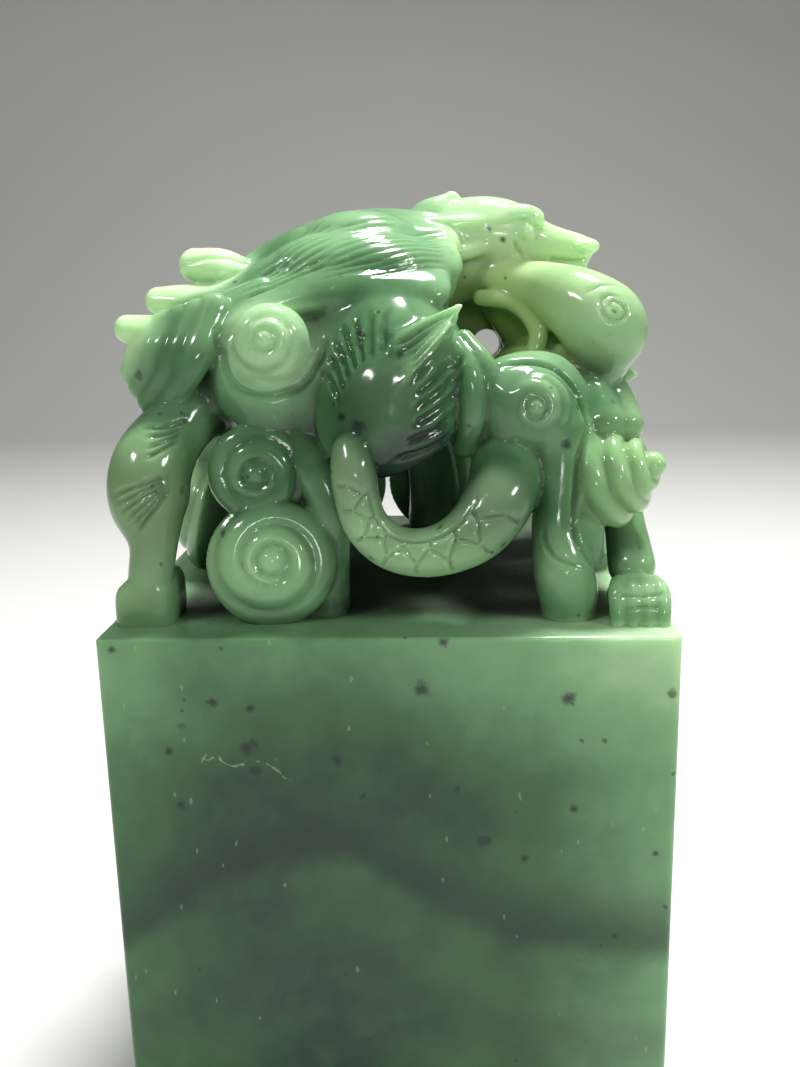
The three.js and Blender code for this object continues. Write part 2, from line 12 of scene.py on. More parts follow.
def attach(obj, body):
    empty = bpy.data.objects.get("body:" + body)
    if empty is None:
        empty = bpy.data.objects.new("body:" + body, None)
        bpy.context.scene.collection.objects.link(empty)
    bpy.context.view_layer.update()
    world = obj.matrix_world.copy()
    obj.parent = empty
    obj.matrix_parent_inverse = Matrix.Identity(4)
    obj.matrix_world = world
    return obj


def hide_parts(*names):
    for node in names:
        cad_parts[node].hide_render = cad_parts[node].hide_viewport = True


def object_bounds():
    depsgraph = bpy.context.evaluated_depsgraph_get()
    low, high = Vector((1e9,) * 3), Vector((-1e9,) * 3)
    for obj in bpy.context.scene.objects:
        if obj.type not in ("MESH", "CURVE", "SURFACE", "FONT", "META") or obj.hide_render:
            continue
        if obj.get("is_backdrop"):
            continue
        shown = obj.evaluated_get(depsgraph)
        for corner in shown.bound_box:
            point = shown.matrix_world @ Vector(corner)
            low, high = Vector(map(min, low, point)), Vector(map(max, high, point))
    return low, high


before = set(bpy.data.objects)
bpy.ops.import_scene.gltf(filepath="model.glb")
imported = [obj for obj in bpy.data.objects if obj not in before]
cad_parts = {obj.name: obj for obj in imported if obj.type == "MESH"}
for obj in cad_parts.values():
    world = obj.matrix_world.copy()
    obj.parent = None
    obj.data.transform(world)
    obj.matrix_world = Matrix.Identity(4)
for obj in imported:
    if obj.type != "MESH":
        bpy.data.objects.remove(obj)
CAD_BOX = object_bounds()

log = logging.getLogger("seal")

MM = 0.001
TURN = 2 * math.pi
BLOCK_WIDTH = 50.0
BLOCK_DEPTH = 50.0
BLOCK_HEIGHT = 60.0
TOP = BLOCK_HEIGHT * MM

# How finely the surfaces are divided: corners round them, and rings along them.
LIMB_SIDES, LIMB_RINGS, LIMB_CAP_RINGS = 32, 10, 6
LOBE_SIDES, LOBE_RINGS = 40, 24
MOUND_SIDES, MOUND_RINGS = 120, 41
SCROLL_SIDES, SCROLL_RINGS = 132, 65

# How a stroke is drawn onto the skin: how far off it may lie in millimetres, how many samples it has a millimetre and
# at least in all, how many of them have to meet the skin, and how often the drawn line is relaxed.
STROKE_REACH = 1.8
STROKE_SAMPLES = 7
STROKE_LEAST_SAMPLES = 12
STROKE_LEAST_MET = 6
STROKE_SOFTENING = 16

Triple = tuple[float, float, float]
Station = tuple[float, float, float, float]
Colour = tuple[int, int, int]
Socket = bpy.types.NodeSocket


@dataclass(frozen=True)
class Shell:
    """A closed surface in millimetres: its corners, and the triangles between them."""

    points: np.ndarray
    faces: np.ndarray

    def outward(self) -> "Shell":
        """The same surface with its faces turned outwards, by the sign of the volume that they enclose.

        Returns:
            The surface, or itself where it faces outwards already.
        """
        a, b, c = (self.points[self.faces[:, k]] for k in range(3))
        if np.einsum("ij,ij->", a, np.cross(b, c)) < 0:
            return Shell(self.points, self.faces[:, ::-1])
        return self

    def normals(self) -> np.ndarray:
        """The normal at each corner: the mean of its triangles' normals, weighted by their areas.

        Returns:
            One direction for each corner.
        """
        a, b, c = (self.points[self.faces[:, k]] for k in range(3))
        facing = np.cross(b - a, c - a)
        total = np.stack(
            [
                sum(np.bincount(self.faces[:, k], facing[:, axis], len(self.points)) for k in range(3))
                for axis in range(3)
            ],
            axis=1,
        )
        return unit(total)


def unit(vectors: np.ndarray) -> np.ndarray:
    """Each vector divided by its length."""
    return vectors / np.maximum(np.linalg.norm(vectors, axis=-1, keepdims=True), 1e-9)


def closed_faces(rows: int, columns: int) -> np.ndarray:
    """The triangles of a tube whose ends are shut by a pole each.

    Args:
        rows: rings of corners along the tube.
        columns: corners in a ring. The two poles follow the last ring.

    Returns:
        Corner numbers, three to a triangle.
    """
    i, j = np.meshgrid(np.arange(rows - 1), np.arange(columns), indexing="ij")
    a, b = i * columns + j, i * columns + (j + 1) % columns
    c, d = a + columns, b + columns
    ring = np.arange(columns)
    after = (ring + 1) % columns
    last = (rows - 1) * columns
    first_pole = np.full(columns, rows * columns)
    return np.concatenate(
        [
            np.stack([a, b, d], -1).reshape(-1, 3),
            np.stack([a, d, c], -1).reshape(-1, 3),
            np.stack([after, ring, first_pole], -1),
            np.stack([ring + last, after + last, first_pole + 1], -1),
        ]
    )


def shell(grid: np.ndarray, first_pole: np.ndarray, last_pole: np.ndarray) -> Shell:
    """A closed shell from a grid of corners and a pole at each end.

    Args:
        grid: corners, rows by columns by three.
        first_pole: the corner that shuts the first row.
        last_pole: the corner that shuts the last row.

    Returns:
        The shell, facing outwards.
    """
    rows, columns = grid.shape[:2]
    points = np.vstack([grid.reshape(-1, 3), first_pole, last_pole])
    return Shell(points, closed_faces(rows, columns)).outward()


def spline(stations: Sequence[Sequence[float]], shares: np.ndarray) -> tuple[np.ndarray, np.ndarray]:
    """A smooth curve through stations: between two of them runs the cubic whose slopes at its ends come from the
    stations on either side, spaced by the square roots of their distances.

    Args:
        stations: at least two rows whose first three numbers are a place; the rest are carried along.
        shares: how far along, from 0 to 1.

    Returns:
        The values at those shares, and their slopes.
    """
    knots = np.asarray(stations, float)
    padded = np.vstack([2 * knots[0] - knots[1], knots, 2 * knots[-1] - knots[-2]])
    gaps = np.sqrt(np.linalg.norm(np.diff(padded[:, :3], axis=0), axis=1))[:, None]
    place = np.clip(shares, 0, 1) * (len(knots) - 1)
    span = np.minimum(place.astype(int), len(knots) - 2)
    t = (place - span)[:, None]
    p0, p1, p2, p3 = (padded[span + k] for k in range(4))
    d0, d1, d2 = (np.maximum(gaps[span + k], 1e-6) for k in range(3))
    slope1 = ((p1 - p0) / d0 - (p2 - p0) / (d0 + d1) + (p2 - p1) / d1) * d1
    slope2 = ((p2 - p1) / d1 - (p3 - p1) / (d1 + d2) + (p3 - p2) / d2) * d1
    cubic, square = 2 * (p1 - p2) + slope1 + slope2, 3 * (p2 - p1) - 2 * slope1 - slope2
    return ((cubic * t + square) * t + slope1) * t + p1, (3 * cubic * t + 2 * square) * t + slope1


def limb(
    stations: Sequence[Station],
    wide: float = 1.0,
    thick: float = 1.0,
    up: Triple = (0, 1, 0),
) -> Shell:
    """A round-ended rod bent along a smooth curve.

    A corner is path(u) + girth(u) * (wide * cos v * across + thick * sin v * above). Past either end the ring
    shrinks as the cosine of an angle while it moves on by its sine, which rounds the end.

    Args:
        stations: x, y, height and radius along the rod.
        wide: stretch across the up direction.
        thick: stretch along it.
        up: a direction that the section's thickness leans to.

    Returns:
        The rod's closed shell.
    """
    rounding = np.linspace(0, TURN / 4, LIMB_CAP_RINGS + 2)[1:-1]
    middle = LIMB_RINGS * (len(stations) - 1) + 1
    shares = np.concatenate([np.zeros(LIMB_CAP_RINGS), np.linspace(0, 1, middle), np.ones(LIMB_CAP_RINGS)])
    beyond = np.concatenate([-np.sin(rounding[::-1]), np.zeros(middle), np.sin(rounding)])
    shrink = np.concatenate([np.cos(rounding[::-1]), np.ones(middle), np.cos(rounding)])
    values, slopes = spline(stations, shares)
    girth = np.maximum(values[:, 3], 0.05)[:, None]
    ahead = unit(slopes[:, :3])
    across = unit(np.cross(ahead, up))
    above = np.cross(across, ahead)
    angle = np.linspace(0, TURN, LIMB_SIDES, endpoint=False)
    ring = girth * shrink[:, None]
    grid = (
        (values[:, :3] + ahead * beyond[:, None] * girth)[:, None]
        + (ring * wide * np.cos(angle))[..., None] * across[:, None]
        + (ring * thick * np.sin(angle))[..., None] * above[:, None]
    )
    first = values[0, :3] - ahead[0] * girth[0]
    last = values[-1, :3] + ahead[-1] * girth[-1]
    return shell(grid, first, last)


def lobe(centre: Triple, radii: Triple) -> Shell:
    """An ellipsoid: centre + radii * (cos v sin u, sin v sin u, cos u).

    Args:
        centre: its middle.
        radii: its half sizes along x, y and height.

    Returns:
        The ellipsoid's closed shell.
    """
    u = np.linspace(0, TURN / 2, LOBE_RINGS + 2)[1:-1, None]
    v = np.linspace(0, TURN, LOBE_SIDES, endpoint=False)[None]
    ball = np.stack([np.sin(u) * np.cos(v), np.sin(u) * np.sin(v), np.cos(u) + 0 * v], -1)
    scale = np.asarray(radii, float)
    top = np.array([0.0, 0.0, 1.0])
    return shell(ball * scale + centre, centre + top * scale, centre - top * scale)


def mound(outline: Sequence[Triple], peak: Triple, back: Triple, fullness: float = 0.55) -> Shell:
    """A swell over a free outline.

    With m the middle of the outline, a corner is m + r * (edge(a) - m) + (1 - r * r) ^ fullness * (peak - m), where
    edge is a closed smooth curve through the outline's places and r runs from 0 to 1.

    Args:
        outline: places round the foot of the swell.
        peak: its highest place.
        back: the place behind it that its rim is drawn to.
        fullness: 0.5 for a full round swell, more for a flatter one.

    Returns:
        The swell's closed shell.
    """
    middle = np.mean(np.asarray(outline, float), axis=0)
    around = [*outline[-2:], *outline, *outline[:2]]
    share = (2 + np.linspace(0, len(outline), MOUND_SIDES + 1)[:-1]) / (len(around) - 1)
    edge = spline(around, share)[0][:, :3]
    reach = np.linspace(0, 1, MOUND_RINGS + 1)[1:, None, None]
    grid = middle + reach * (edge - middle)[None] + (1 - reach**2) ** fullness * (np.asarray(peak) - middle)
    return shell(grid, np.asarray(peak, float), np.asarray(back, float))


def faced(facing: Triple) -> tuple[np.ndarray, np.ndarray, np.ndarray]:
    """The frame of something that faces one way.

    Args:
        facing: the way it faces.

    Returns:
        The directions to its right, up its face and out of it.
    """
    out = unit(np.asarray(facing, float))
    right = unit(np.cross((0, 0, 1), out))
    return right, np.cross(out, right), out


@dataclass(frozen=True)
class Scroll:
    """A cloud scroll: a rope that winds in over a dome to a bead.

    The dome is an ellipsoid: r * radius across and depth * radius * sqrt(1 - r * r) out, with r from 0 to 1. The
    strip's own coordinate is s = (1 - r ^ 0.8) / pitch - turns made at the angle a. Along the dome's normal the
    corner then moves by relief * pitch times the section of the strip, (1 - (2s - 1) ^ 2) ^ 0.45 for the part of s
    between two whole numbers. Inside the last turn the strip gives way to a round bead.
    """

    centre: Triple
    radius: float
    facing: Triple
    start: float
    turns: float = 1.5
    hand: int = 1
    depth: float = 0.7
    relief: float = 0.34

    def shell(self) -> Shell:
        """The scroll's front over a grid of reach and angle, and a blunt cone behind it.

        Returns:
            The closed shell.
        """
        right, top, out = faced(self.facing)
        reach = np.linspace(0, 1, SCROLL_RINGS + 1)[1:, None]
        angle = np.linspace(0, TURN, SCROLL_SIDES, endpoint=False)[None]
        pitch = 1 / (self.turns + 0.9)
        wound = (self.hand * (angle / TURN - self.start)) % 1
        strip = ((1 - reach**0.8) / pitch - wound) % 1
        rope = np.maximum(1 - (2 * strip - 1) ** 2, 0) ** 0.45
        core = 0.62 * pitch
        bead = np.sqrt(np.maximum(1 - (reach / core) ** 2, 0)) * 1.15 + 0 * angle
        section = np.where(reach < core, bead, rope * np.clip((reach - core) / (0.3 * pitch), 0, 1))
        rise = np.sqrt(1 - (0.995 * reach) ** 2)
        lean = np.hypot(self.depth * reach, rise)
        lift = self.relief * pitch * (section - 0.8)
        spread = reach + lift * self.depth * reach / lean
        height = self.depth * rise + lift * rise / lean
        grid = (
            np.asarray(self.centre, float)
            + self.radius * (spread * np.cos(angle))[..., None] * right
            + self.radius * (spread * np.sin(angle))[..., None] * top
            + self.radius * height[..., None] * out
        )
        front = np.asarray(self.centre) + self.radius * (self.depth + self.relief * pitch * 0.45) * out
        back = np.asarray(self.centre) - self.radius * 0.6 * self.depth * out
        return shell(grid, front, back)


def fanned(lines: Sequence[Sequence[Triple]], count: int) -> list[list[np.ndarray]]:
    """Courses that run across a few lines, evenly spread along each of them.

    Args:
        lines: the lines, in the order in which a course passes them.
        count: how many courses there are.

    Returns:
        The places of each course, one on each line.
    """
    shares = np.linspace(0, 1, count)
    curves = [spline(line, shares)[0] for line in lines]
    return [[curve[k] for curve in curves] for k in range(count)]


def locks(
    roots: Sequence[Triple],
    bends: Sequence[Triple],
    tips: Sequence[Triple],
    count: int,
    radius: float,
    tip: float = 0.3,
    up: Triple = (0, -1, 0),
    thick: float = 0.8,
) -> list[Shell]:
    """A row of pointed flat limbs.

    Args:
        roots: the line that they leave from.
        bends: the line that they pass.
        tips: the line that they end on.
        count: how many there are.
        radius: their radius at root and bend.
        tip: their radius at the tip.
        up: the direction that they lie flat to.
        thick: their thickness as a share of their width.

    Returns:
        One shell for each lock.
    """
    radii = (radius, radius, tip)
    courses = fanned((roots, bends, tips), count)
    return [limb([(*place, r) for place, r in zip(course, radii)], up=up, thick=thick) for course in courses]


@dataclass(frozen=True)
class Stroke:
    """One engraved line: the places it passes, its half width and how deep it is."""

    path: tuple[Triple, ...]
    width: float
    depth: float


def strokes(
    roots: Sequence[Triple],
    bends: Sequence[Triple],
    tips: Sequence[Triple],
    count: int,
    width: float,
    depth: float,
) -> list[Stroke]:
    """A row of engraved lines.

    Args:
        roots: the line that they leave from.
        bends: the line that they pass.
        tips: the line that they end on.
        count: how many there are.
        width: half the width of each.
        depth: how deep each is cut.

    Returns:
        The strokes.
    """
    courses = fanned((roots, bends, tips), count)
    return [Stroke(tuple(tuple(place) for place in course), width, depth) for course in courses]


def mesh_object(name: str, surface: Shell) -> bpy.types.Object:
    """A mesh object in the scene.

    Args:
        name: the name of the object and its mesh.
        surface: its corners and triangles, taken over in their own units.

    Returns:
        The object.
    """
    mesh = bpy.data.meshes.new(name)
    count = len(surface.faces)
    mesh.vertices.add(len(surface.points))
    mesh.vertices.foreach_set("co", surface.points.astype(np.float32).ravel())
    mesh.loops.add(3 * count)
    mesh.loops.foreach_set("vertex_index", surface.faces.astype(np.int32).ravel())
    mesh.polygons.add(count)
    mesh.polygons.foreach_set("loop_start", np.arange(0, 3 * count, 3, dtype=np.int32))
    mesh.update(calc_edges=True)
    piece = bpy.data.objects.new(name, mesh)
    bpy.context.scene.collection.objects.link(piece)
    return piece


def taken(piece: bpy.types.Object) -> Shell:
    """The surface of an object with its modifiers applied. The object is removed.

    Args:
        piece: the object.

    Returns:
        Its surface as triangles.
    """
    graph = bpy.context.evaluated_depsgraph_get()
    mesh = piece.evaluated_get(graph).to_mesh()
    mesh.calc_loop_triangles()
    points = np.empty(3 * len(mesh.vertices), np.float32)
    mesh.vertices.foreach_get("co", points)
    faces = np.empty(3 * len(mesh.loop_triangles), np.int32)
    mesh.loop_triangles.foreach_get("vertices", faces)
    piece.evaluated_get(graph).to_mesh_clear()
    old = piece.data
    bpy.data.objects.remove(piece)
    bpy.data.meshes.remove(old)
    return Shell(points.reshape(-1, 3).astype(float), faces.reshape(-1, 3))


def joined(shells: Iterable[Shell]) -> Shell:
    """Several shells as one list of corners and triangles.

    Args:
        shells: the shells, which may overlap.

    Returns:
        All of them together, overlapping as they are.
    """
    parts = list(shells)
    starts = np.cumsum([0] + [len(part.points) for part in parts[:-1]])
    return Shell(
        np.vstack([part.points for part in parts]),
        np.vstack([part.faces + start for part, start in zip(parts, starts)]),
    )


def fused(shells: Iterable[Shell], voxel: float, softening: int) -> Shell:
    """One skin round several shells, made on a grid of cubes.

    Args:
        shells: the shells, which may overlap.
        voxel: the side of a cube.
        softening: how many times the skin is relaxed.

    Returns:
        The skin.
    """
    piece = mesh_object("fusing", joined(shells))
    remesh = piece.modifiers.new("skin", "REMESH")
    remesh.mode = "VOXEL"
    remesh.voxel_size = voxel
    smooth = piece.modifiers.new("soften", "SMOOTH")
    smooth.factor = 0.5
    smooth.iterations = softening
    return taken(piece)


def engraved(surface: Shell, lines: Sequence[Stroke]) -> Shell:
    """The surface with lines cut into it.

    A line is first drawn onto the nearest corners of the surface. A corner at a distance d from it then sinks along
    its normal by depth * (1 - (d / width) ^ 2) ^ 2. The depth falls to a quarter over the last part of each end.
    Where lines cross, the deeper one counts. A line that lies off the surface is left out.

    Args:
        surface: a surface with corners closer together than the lines are wide.
        lines: the lines.

    Returns:
        The engraved surface.
    """
    normals = surface.normals()
    sunk = np.zeros(len(surface.points))
    for line in lines:
        samples = max(STROKE_LEAST_SAMPLES, int(STROKE_SAMPLES * path_length(line.path)))
        path = spline(line.path, np.linspace(0, 1, samples))[0]
        low, high = path.min(0) - STROKE_REACH, path.max(0) + STROKE_REACH
        inside = np.all((surface.points > low) & (surface.points < high), axis=1).nonzero()[0]
        if not len(inside):
            continue
        local = surface.points[inside]
        to_path = np.linalg.norm(local[None] - path[:, None], axis=2)
        onto = to_path.min(axis=1) < STROKE_REACH
        if onto.sum() < STROKE_LEAST_MET:
            continue
        drawn = local[to_path.argmin(axis=1)][onto]
        for _ in range(STROKE_SOFTENING):
            drawn[1:-1] = 0.25 * drawn[:-2] + 0.5 * drawn[1:-1] + 0.25 * drawn[2:]
        along = np.linspace(0, 1, len(drawn))
        fade = np.clip(5 * np.minimum(along, 1 - along) + 0.25, 0, 1)
        distance = np.linalg.norm(local[None] - drawn[:, None], axis=2)
        nearest = distance.argmin(axis=0)
        reach = distance[nearest, np.arange(len(local))] / line.width
        cut = line.depth * fade[nearest] * np.clip(1 - reach**2, 0, 1) ** 2
        sunk[inside] = np.maximum(cut, sunk[inside])
    return Shell(surface.points - normals * sunk[:, None], surface.faces)


def path_length(path: Sequence[Triple]) -> float:
    """The length of a path from station to station."""
    return float(np.linalg.norm(np.diff(np.asarray(path, float), axis=0), axis=1).sum())


def thinned(surface: Shell, triangles: int) -> Shell:
    """The surface with its flattest edges collapsed.

    Args:
        surface: a surface of triangles.
        triangles: about how many are left.

    Returns:
        The lighter surface, or the same one where it is light enough.
    """
    if len(surface.faces) <= triangles:
        return surface
    piece = mesh_object("thinning", surface)
    collapse = piece.modifiers.new("thin", "DECIMATE")
    collapse.ratio = triangles / len(surface.faces)
    return taken(piece)


def corner_keys(points: np.ndarray) -> np.ndarray:
    """Numbers by which corners of two surfaces are matched.

    Args:
        points: corners in millimetres.

    Returns:
        One whole number a corner, the same where two corners are at the same micrometre.
    """
    return np.round(points * 1000).astype(np.int64) @ np.array([1, 2_000_003, 4_000_000_007_009])


class Cut(Enum):
    """How two solids are put together."""

    UNION = "UNION"
    DIFFERENCE = "DIFFERENCE"


def combined(surface: Shell, other: Shell, how: Cut) -> Shell:
    """Two solids put together.

    Args:
        surface: the first solid.
        other: the second solid.
        how: whether it is added or taken away.

    Returns:
        The solid that results.
    """
    piece, tool = mesh_object("combining", surface), mesh_object("tool", other)
    boolean = piece.modifiers.new("cut", "BOOLEAN")
    boolean.operation = how.value
    boolean.object = tool
    boolean.solver = "MANIFOLD"
    result = taken(piece)
    old = tool.data
    bpy.data.objects.remove(tool)
    bpy.data.meshes.remove(old)
    return result


def shelter(surface: Shell, cell: float = 1.0, blur: float = 2.6) -> np.ndarray:
    """How much stone stands round each corner of a closed surface, from 0 on a thin tip to 1 deep in a hollow.

    The solid is filled into a grid of cells: each triangle adds minus its normal's upward part times its area to its
    cell, and the running sum of that up a column is the share of the cell that is stone. The grid is then blurred
    with a bell curve along each axis and read at the corners.

    Args:
        surface: a closed surface with small triangles, in millimetres.
        cell: the side of a cell.
        blur: the width of the bell curve.

    Returns:
        One number for each corner.
    """
    a, b, c = (surface.points[surface.faces[:, k]] for k in range(3))
    upward = 0.5 * np.cross(b - a, c - a)[:, 2]
    low = surface.points.min(0) - 4 * blur
    size = np.ceil((surface.points.max(0) + 4 * blur - low) / cell).astype(int) + 1
    index = ((a + b + c) / 3 - low) // cell
    flat = np.ravel_multi_index(index.astype(int).T, size)
    filled = np.bincount(flat, -upward, size.prod()).reshape(size).cumsum(axis=2) / cell**2
    filled = np.clip(filled, 0, 1)
    top = int((BLOCK_HEIGHT - low[2]) // cell)
    if top > 0:
        half = BLOCK_WIDTH / 2
        inside = [np.abs(low[k] + (np.arange(size[k]) + 0.5) * cell) < half for k in range(2)]
        filled[np.ix_(inside[0], inside[1], np.arange(top))] = 1.0
    reach = int(3 * blur / cell)
    bell = np.exp(-0.5 * (np.arange(-reach, reach + 1) * cell / blur) ** 2)
    bell /= bell.sum()
    for axis in range(3):
        filled = sum(weight * np.roll(filled, step - reach, axis) for step, weight in enumerate(bell))
    place = (surface.points - low) / cell - 0.5
    corner = np.clip(place.astype(int), 0, size - 2)
    part = place - corner
    total = np.zeros(len(surface.points))
    for dx in (0, 1):
        for dy in (0, 1):
            for dz in (0, 1):
                step = np.array((dx, dy, dz))
                weight = np.prod(np.where(step, part, 1 - part), axis=1)
                total += weight * filled[tuple((corner + step).T)]
    return total


class Form:
    """A form of the dragon: what it adds to the soft masses, to the crisp details over them and to the lines."""

    def masses(self) -> list[Shell]:
        """No soft masses, unless a form has its own."""
        return []

    def details(self) -> list[Shell]:
        """No crisp details, unless a form has its own."""
        return []

    def lines(self) -> list[Stroke]:
        """No engraved lines, unless a form has its own."""
        return []


@dataclass
class Body(Form):
    """The rump, the arched back, the belly, the chest and the flank that fills in towards the left haunch."""

    back: tuple[Station, ...] = (
        (0, -12, 21.5, 7.6),
        (-3.2, -5, 27.4, 7.6),
        (-4.4, 3, 29.2, 7.5),
        (-3.6, 11, 26.2, 7.4),
        (-2.4, 15, 21.4, 6.6),
    )
    belly: tuple[Station, ...] = ((0, -11, 19, 6.4), (-3, -2, 19, 8.4), (-2.6, 9.6, 18.6, 8.2))

    def masses(self) -> list[Shell]:
        """The soft forms of the body.

        Returns:
            Their shells.
        """
        up = (0, 0, 1)
        return [
            limb(self.back, up=up),
            limb(self.belly, up=up),
            lobe((-6.6, -12.6, 20.4), (5.4, 5.4, 6.6)),
            lobe((-3, -7.6, 29.4), (9.6, 6.6, 5)),
        ]


@dataclass
class Haunches(Form):
    """The two haunches, each wound round with its spiral, and the two bands between the tuft and the right one."""

    left: Scroll = Scroll((-9.9, -16.9, 24.4), 3.45, (0, -1, 0.15), start=0.4, turns=1.4, depth=1.0, relief=0.42)
    right: Scroll = Scroll(
        (13, -17.7, 18.5), 3.1, (0, -1, 0.1), start=0.45, turns=1.4, hand=-1, depth=0.74, relief=0.42
    )
    bands: tuple[tuple[Station, ...], ...] = (
        ((5.4, -15.8, 24.4, 1.0), (7.2, -17.8, 21.8, 1.15), (7.7, -18, 18.2, 1.15), (6.9, -16.6, 15, 1.0)),
        ((7, -14.6, 24.2, 1.0), (8.9, -16.9, 21.6, 1.15), (9.5, -17.1, 18, 1.15), (8.6, -15.4, 14.8, 1.0)),
    )
    thigh: tuple[Triple, ...] = (
        (8.3, -15, 21.5),
        (11.8, -14, 23.2),
        (16, -13, 22.6),
        (18.5, -13, 19.4),
        (18.2, -15, 14.6),
        (13.4, -16, 14.2),
        (8.9, -15, 15.2),
    )

    def masses(self) -> list[Shell]:
        """The swells under the spirals.

        Returns:
            Their shells.
        """
        return [
            lobe((-10.9, -13.2, 21.2), (5.7, 5.4, 5.6)),
            lobe((-10.4, -13.6, 18.6), (4.6, 4.6, 3.4)),
            mound(self.thigh, (13, -19.6, 18.4), (13, -9, 18.5)),
        ]

    def details(self) -> list[Shell]:
        """The spirals and the bands."""
        return [self.left.shell(), self.right.shell(), *(limb(band) for band in self.bands)]

    def lines(self) -> list[Stroke]:
        """The crescent under the left spiral, and the long groove that runs over the thigh and down the shank.

        Returns:
            The crescent, the groove and the edge of the hoof.
        """
        crescent = (
            (-14.3, -17, 25.6),
            (-14.1, -17.6, 22.9),
            (-12.9, -18.4, 20.7),
            (-10.1, -18.9, 19.7),
            (-7.3, -18.4, 20.6),
            (-5.6, -17.6, 22.8),
            (-5, -16.8, 24.6),
        )
        thigh = (
            (9.3, -16.8, 21.9),
            (11.6, -16.6, 22.2),
            (14.3, -16.4, 22),
            (16.3, -16.6, 21),
            (17.4, -16.6, 19.4),
            (17.4, -17, 17),
            (16.9, -17.6, 15.1),
            (16.5, -18.6, 11.8),
            (16.4, -19.2, 8.5),
            (16.9, -19.8, 6.6),
            (18.5, -19.8, 5.2),
        )
        hoof = ((13.3, -20, 8.4), (13.7, -20.6, 6.9), (15.1, -21, 5.7), (17.4, -20.8, 5))
        return [
            Stroke(crescent, width=0.6, depth=0.5),
            Stroke(thigh, width=0.55, depth=0.6),
            Stroke(hoof, width=0.4, depth=0.3),
        ]


def paw(place: tuple[float, float], heading: float, size: float = 1.0) -> list[Shell]:
    """A low pad with four toes that bend down to the block.

    Args:
        place: x and y of the pad's middle.
        heading: the way it points, as an angle from +X.
        size: its scale.

    Returns:
        The pad and the toes.
    """
    ahead = np.array([math.cos(heading), math.sin(heading), 0])
    side = np.array([-ahead[1], ahead[0], 0])
    middle = np.array([*place, 0])
    toe = ((0.4, 0.8, 3.3, 0.95), (2.2, 0.98, 2.9, 1.0), (3.3, 1.05, 1.4, 0.85), (3.7, 1.08, -0.2, 0.65))
    pieces = [lobe((*place, 1.9 * size), (2.8 * size, 2.8 * size, 2.5 * size))]
    for hand in (-1.04, -0.35, 0.35, 1.04):
        stations = [
            (*(middle + size * (ahead * along + side * hand * share * 2))[:2], size * height, size * radius)
            for along, share, height, radius in toe
        ]
        pieces.append(limb(stations, up=tuple(side)))
    return pieces


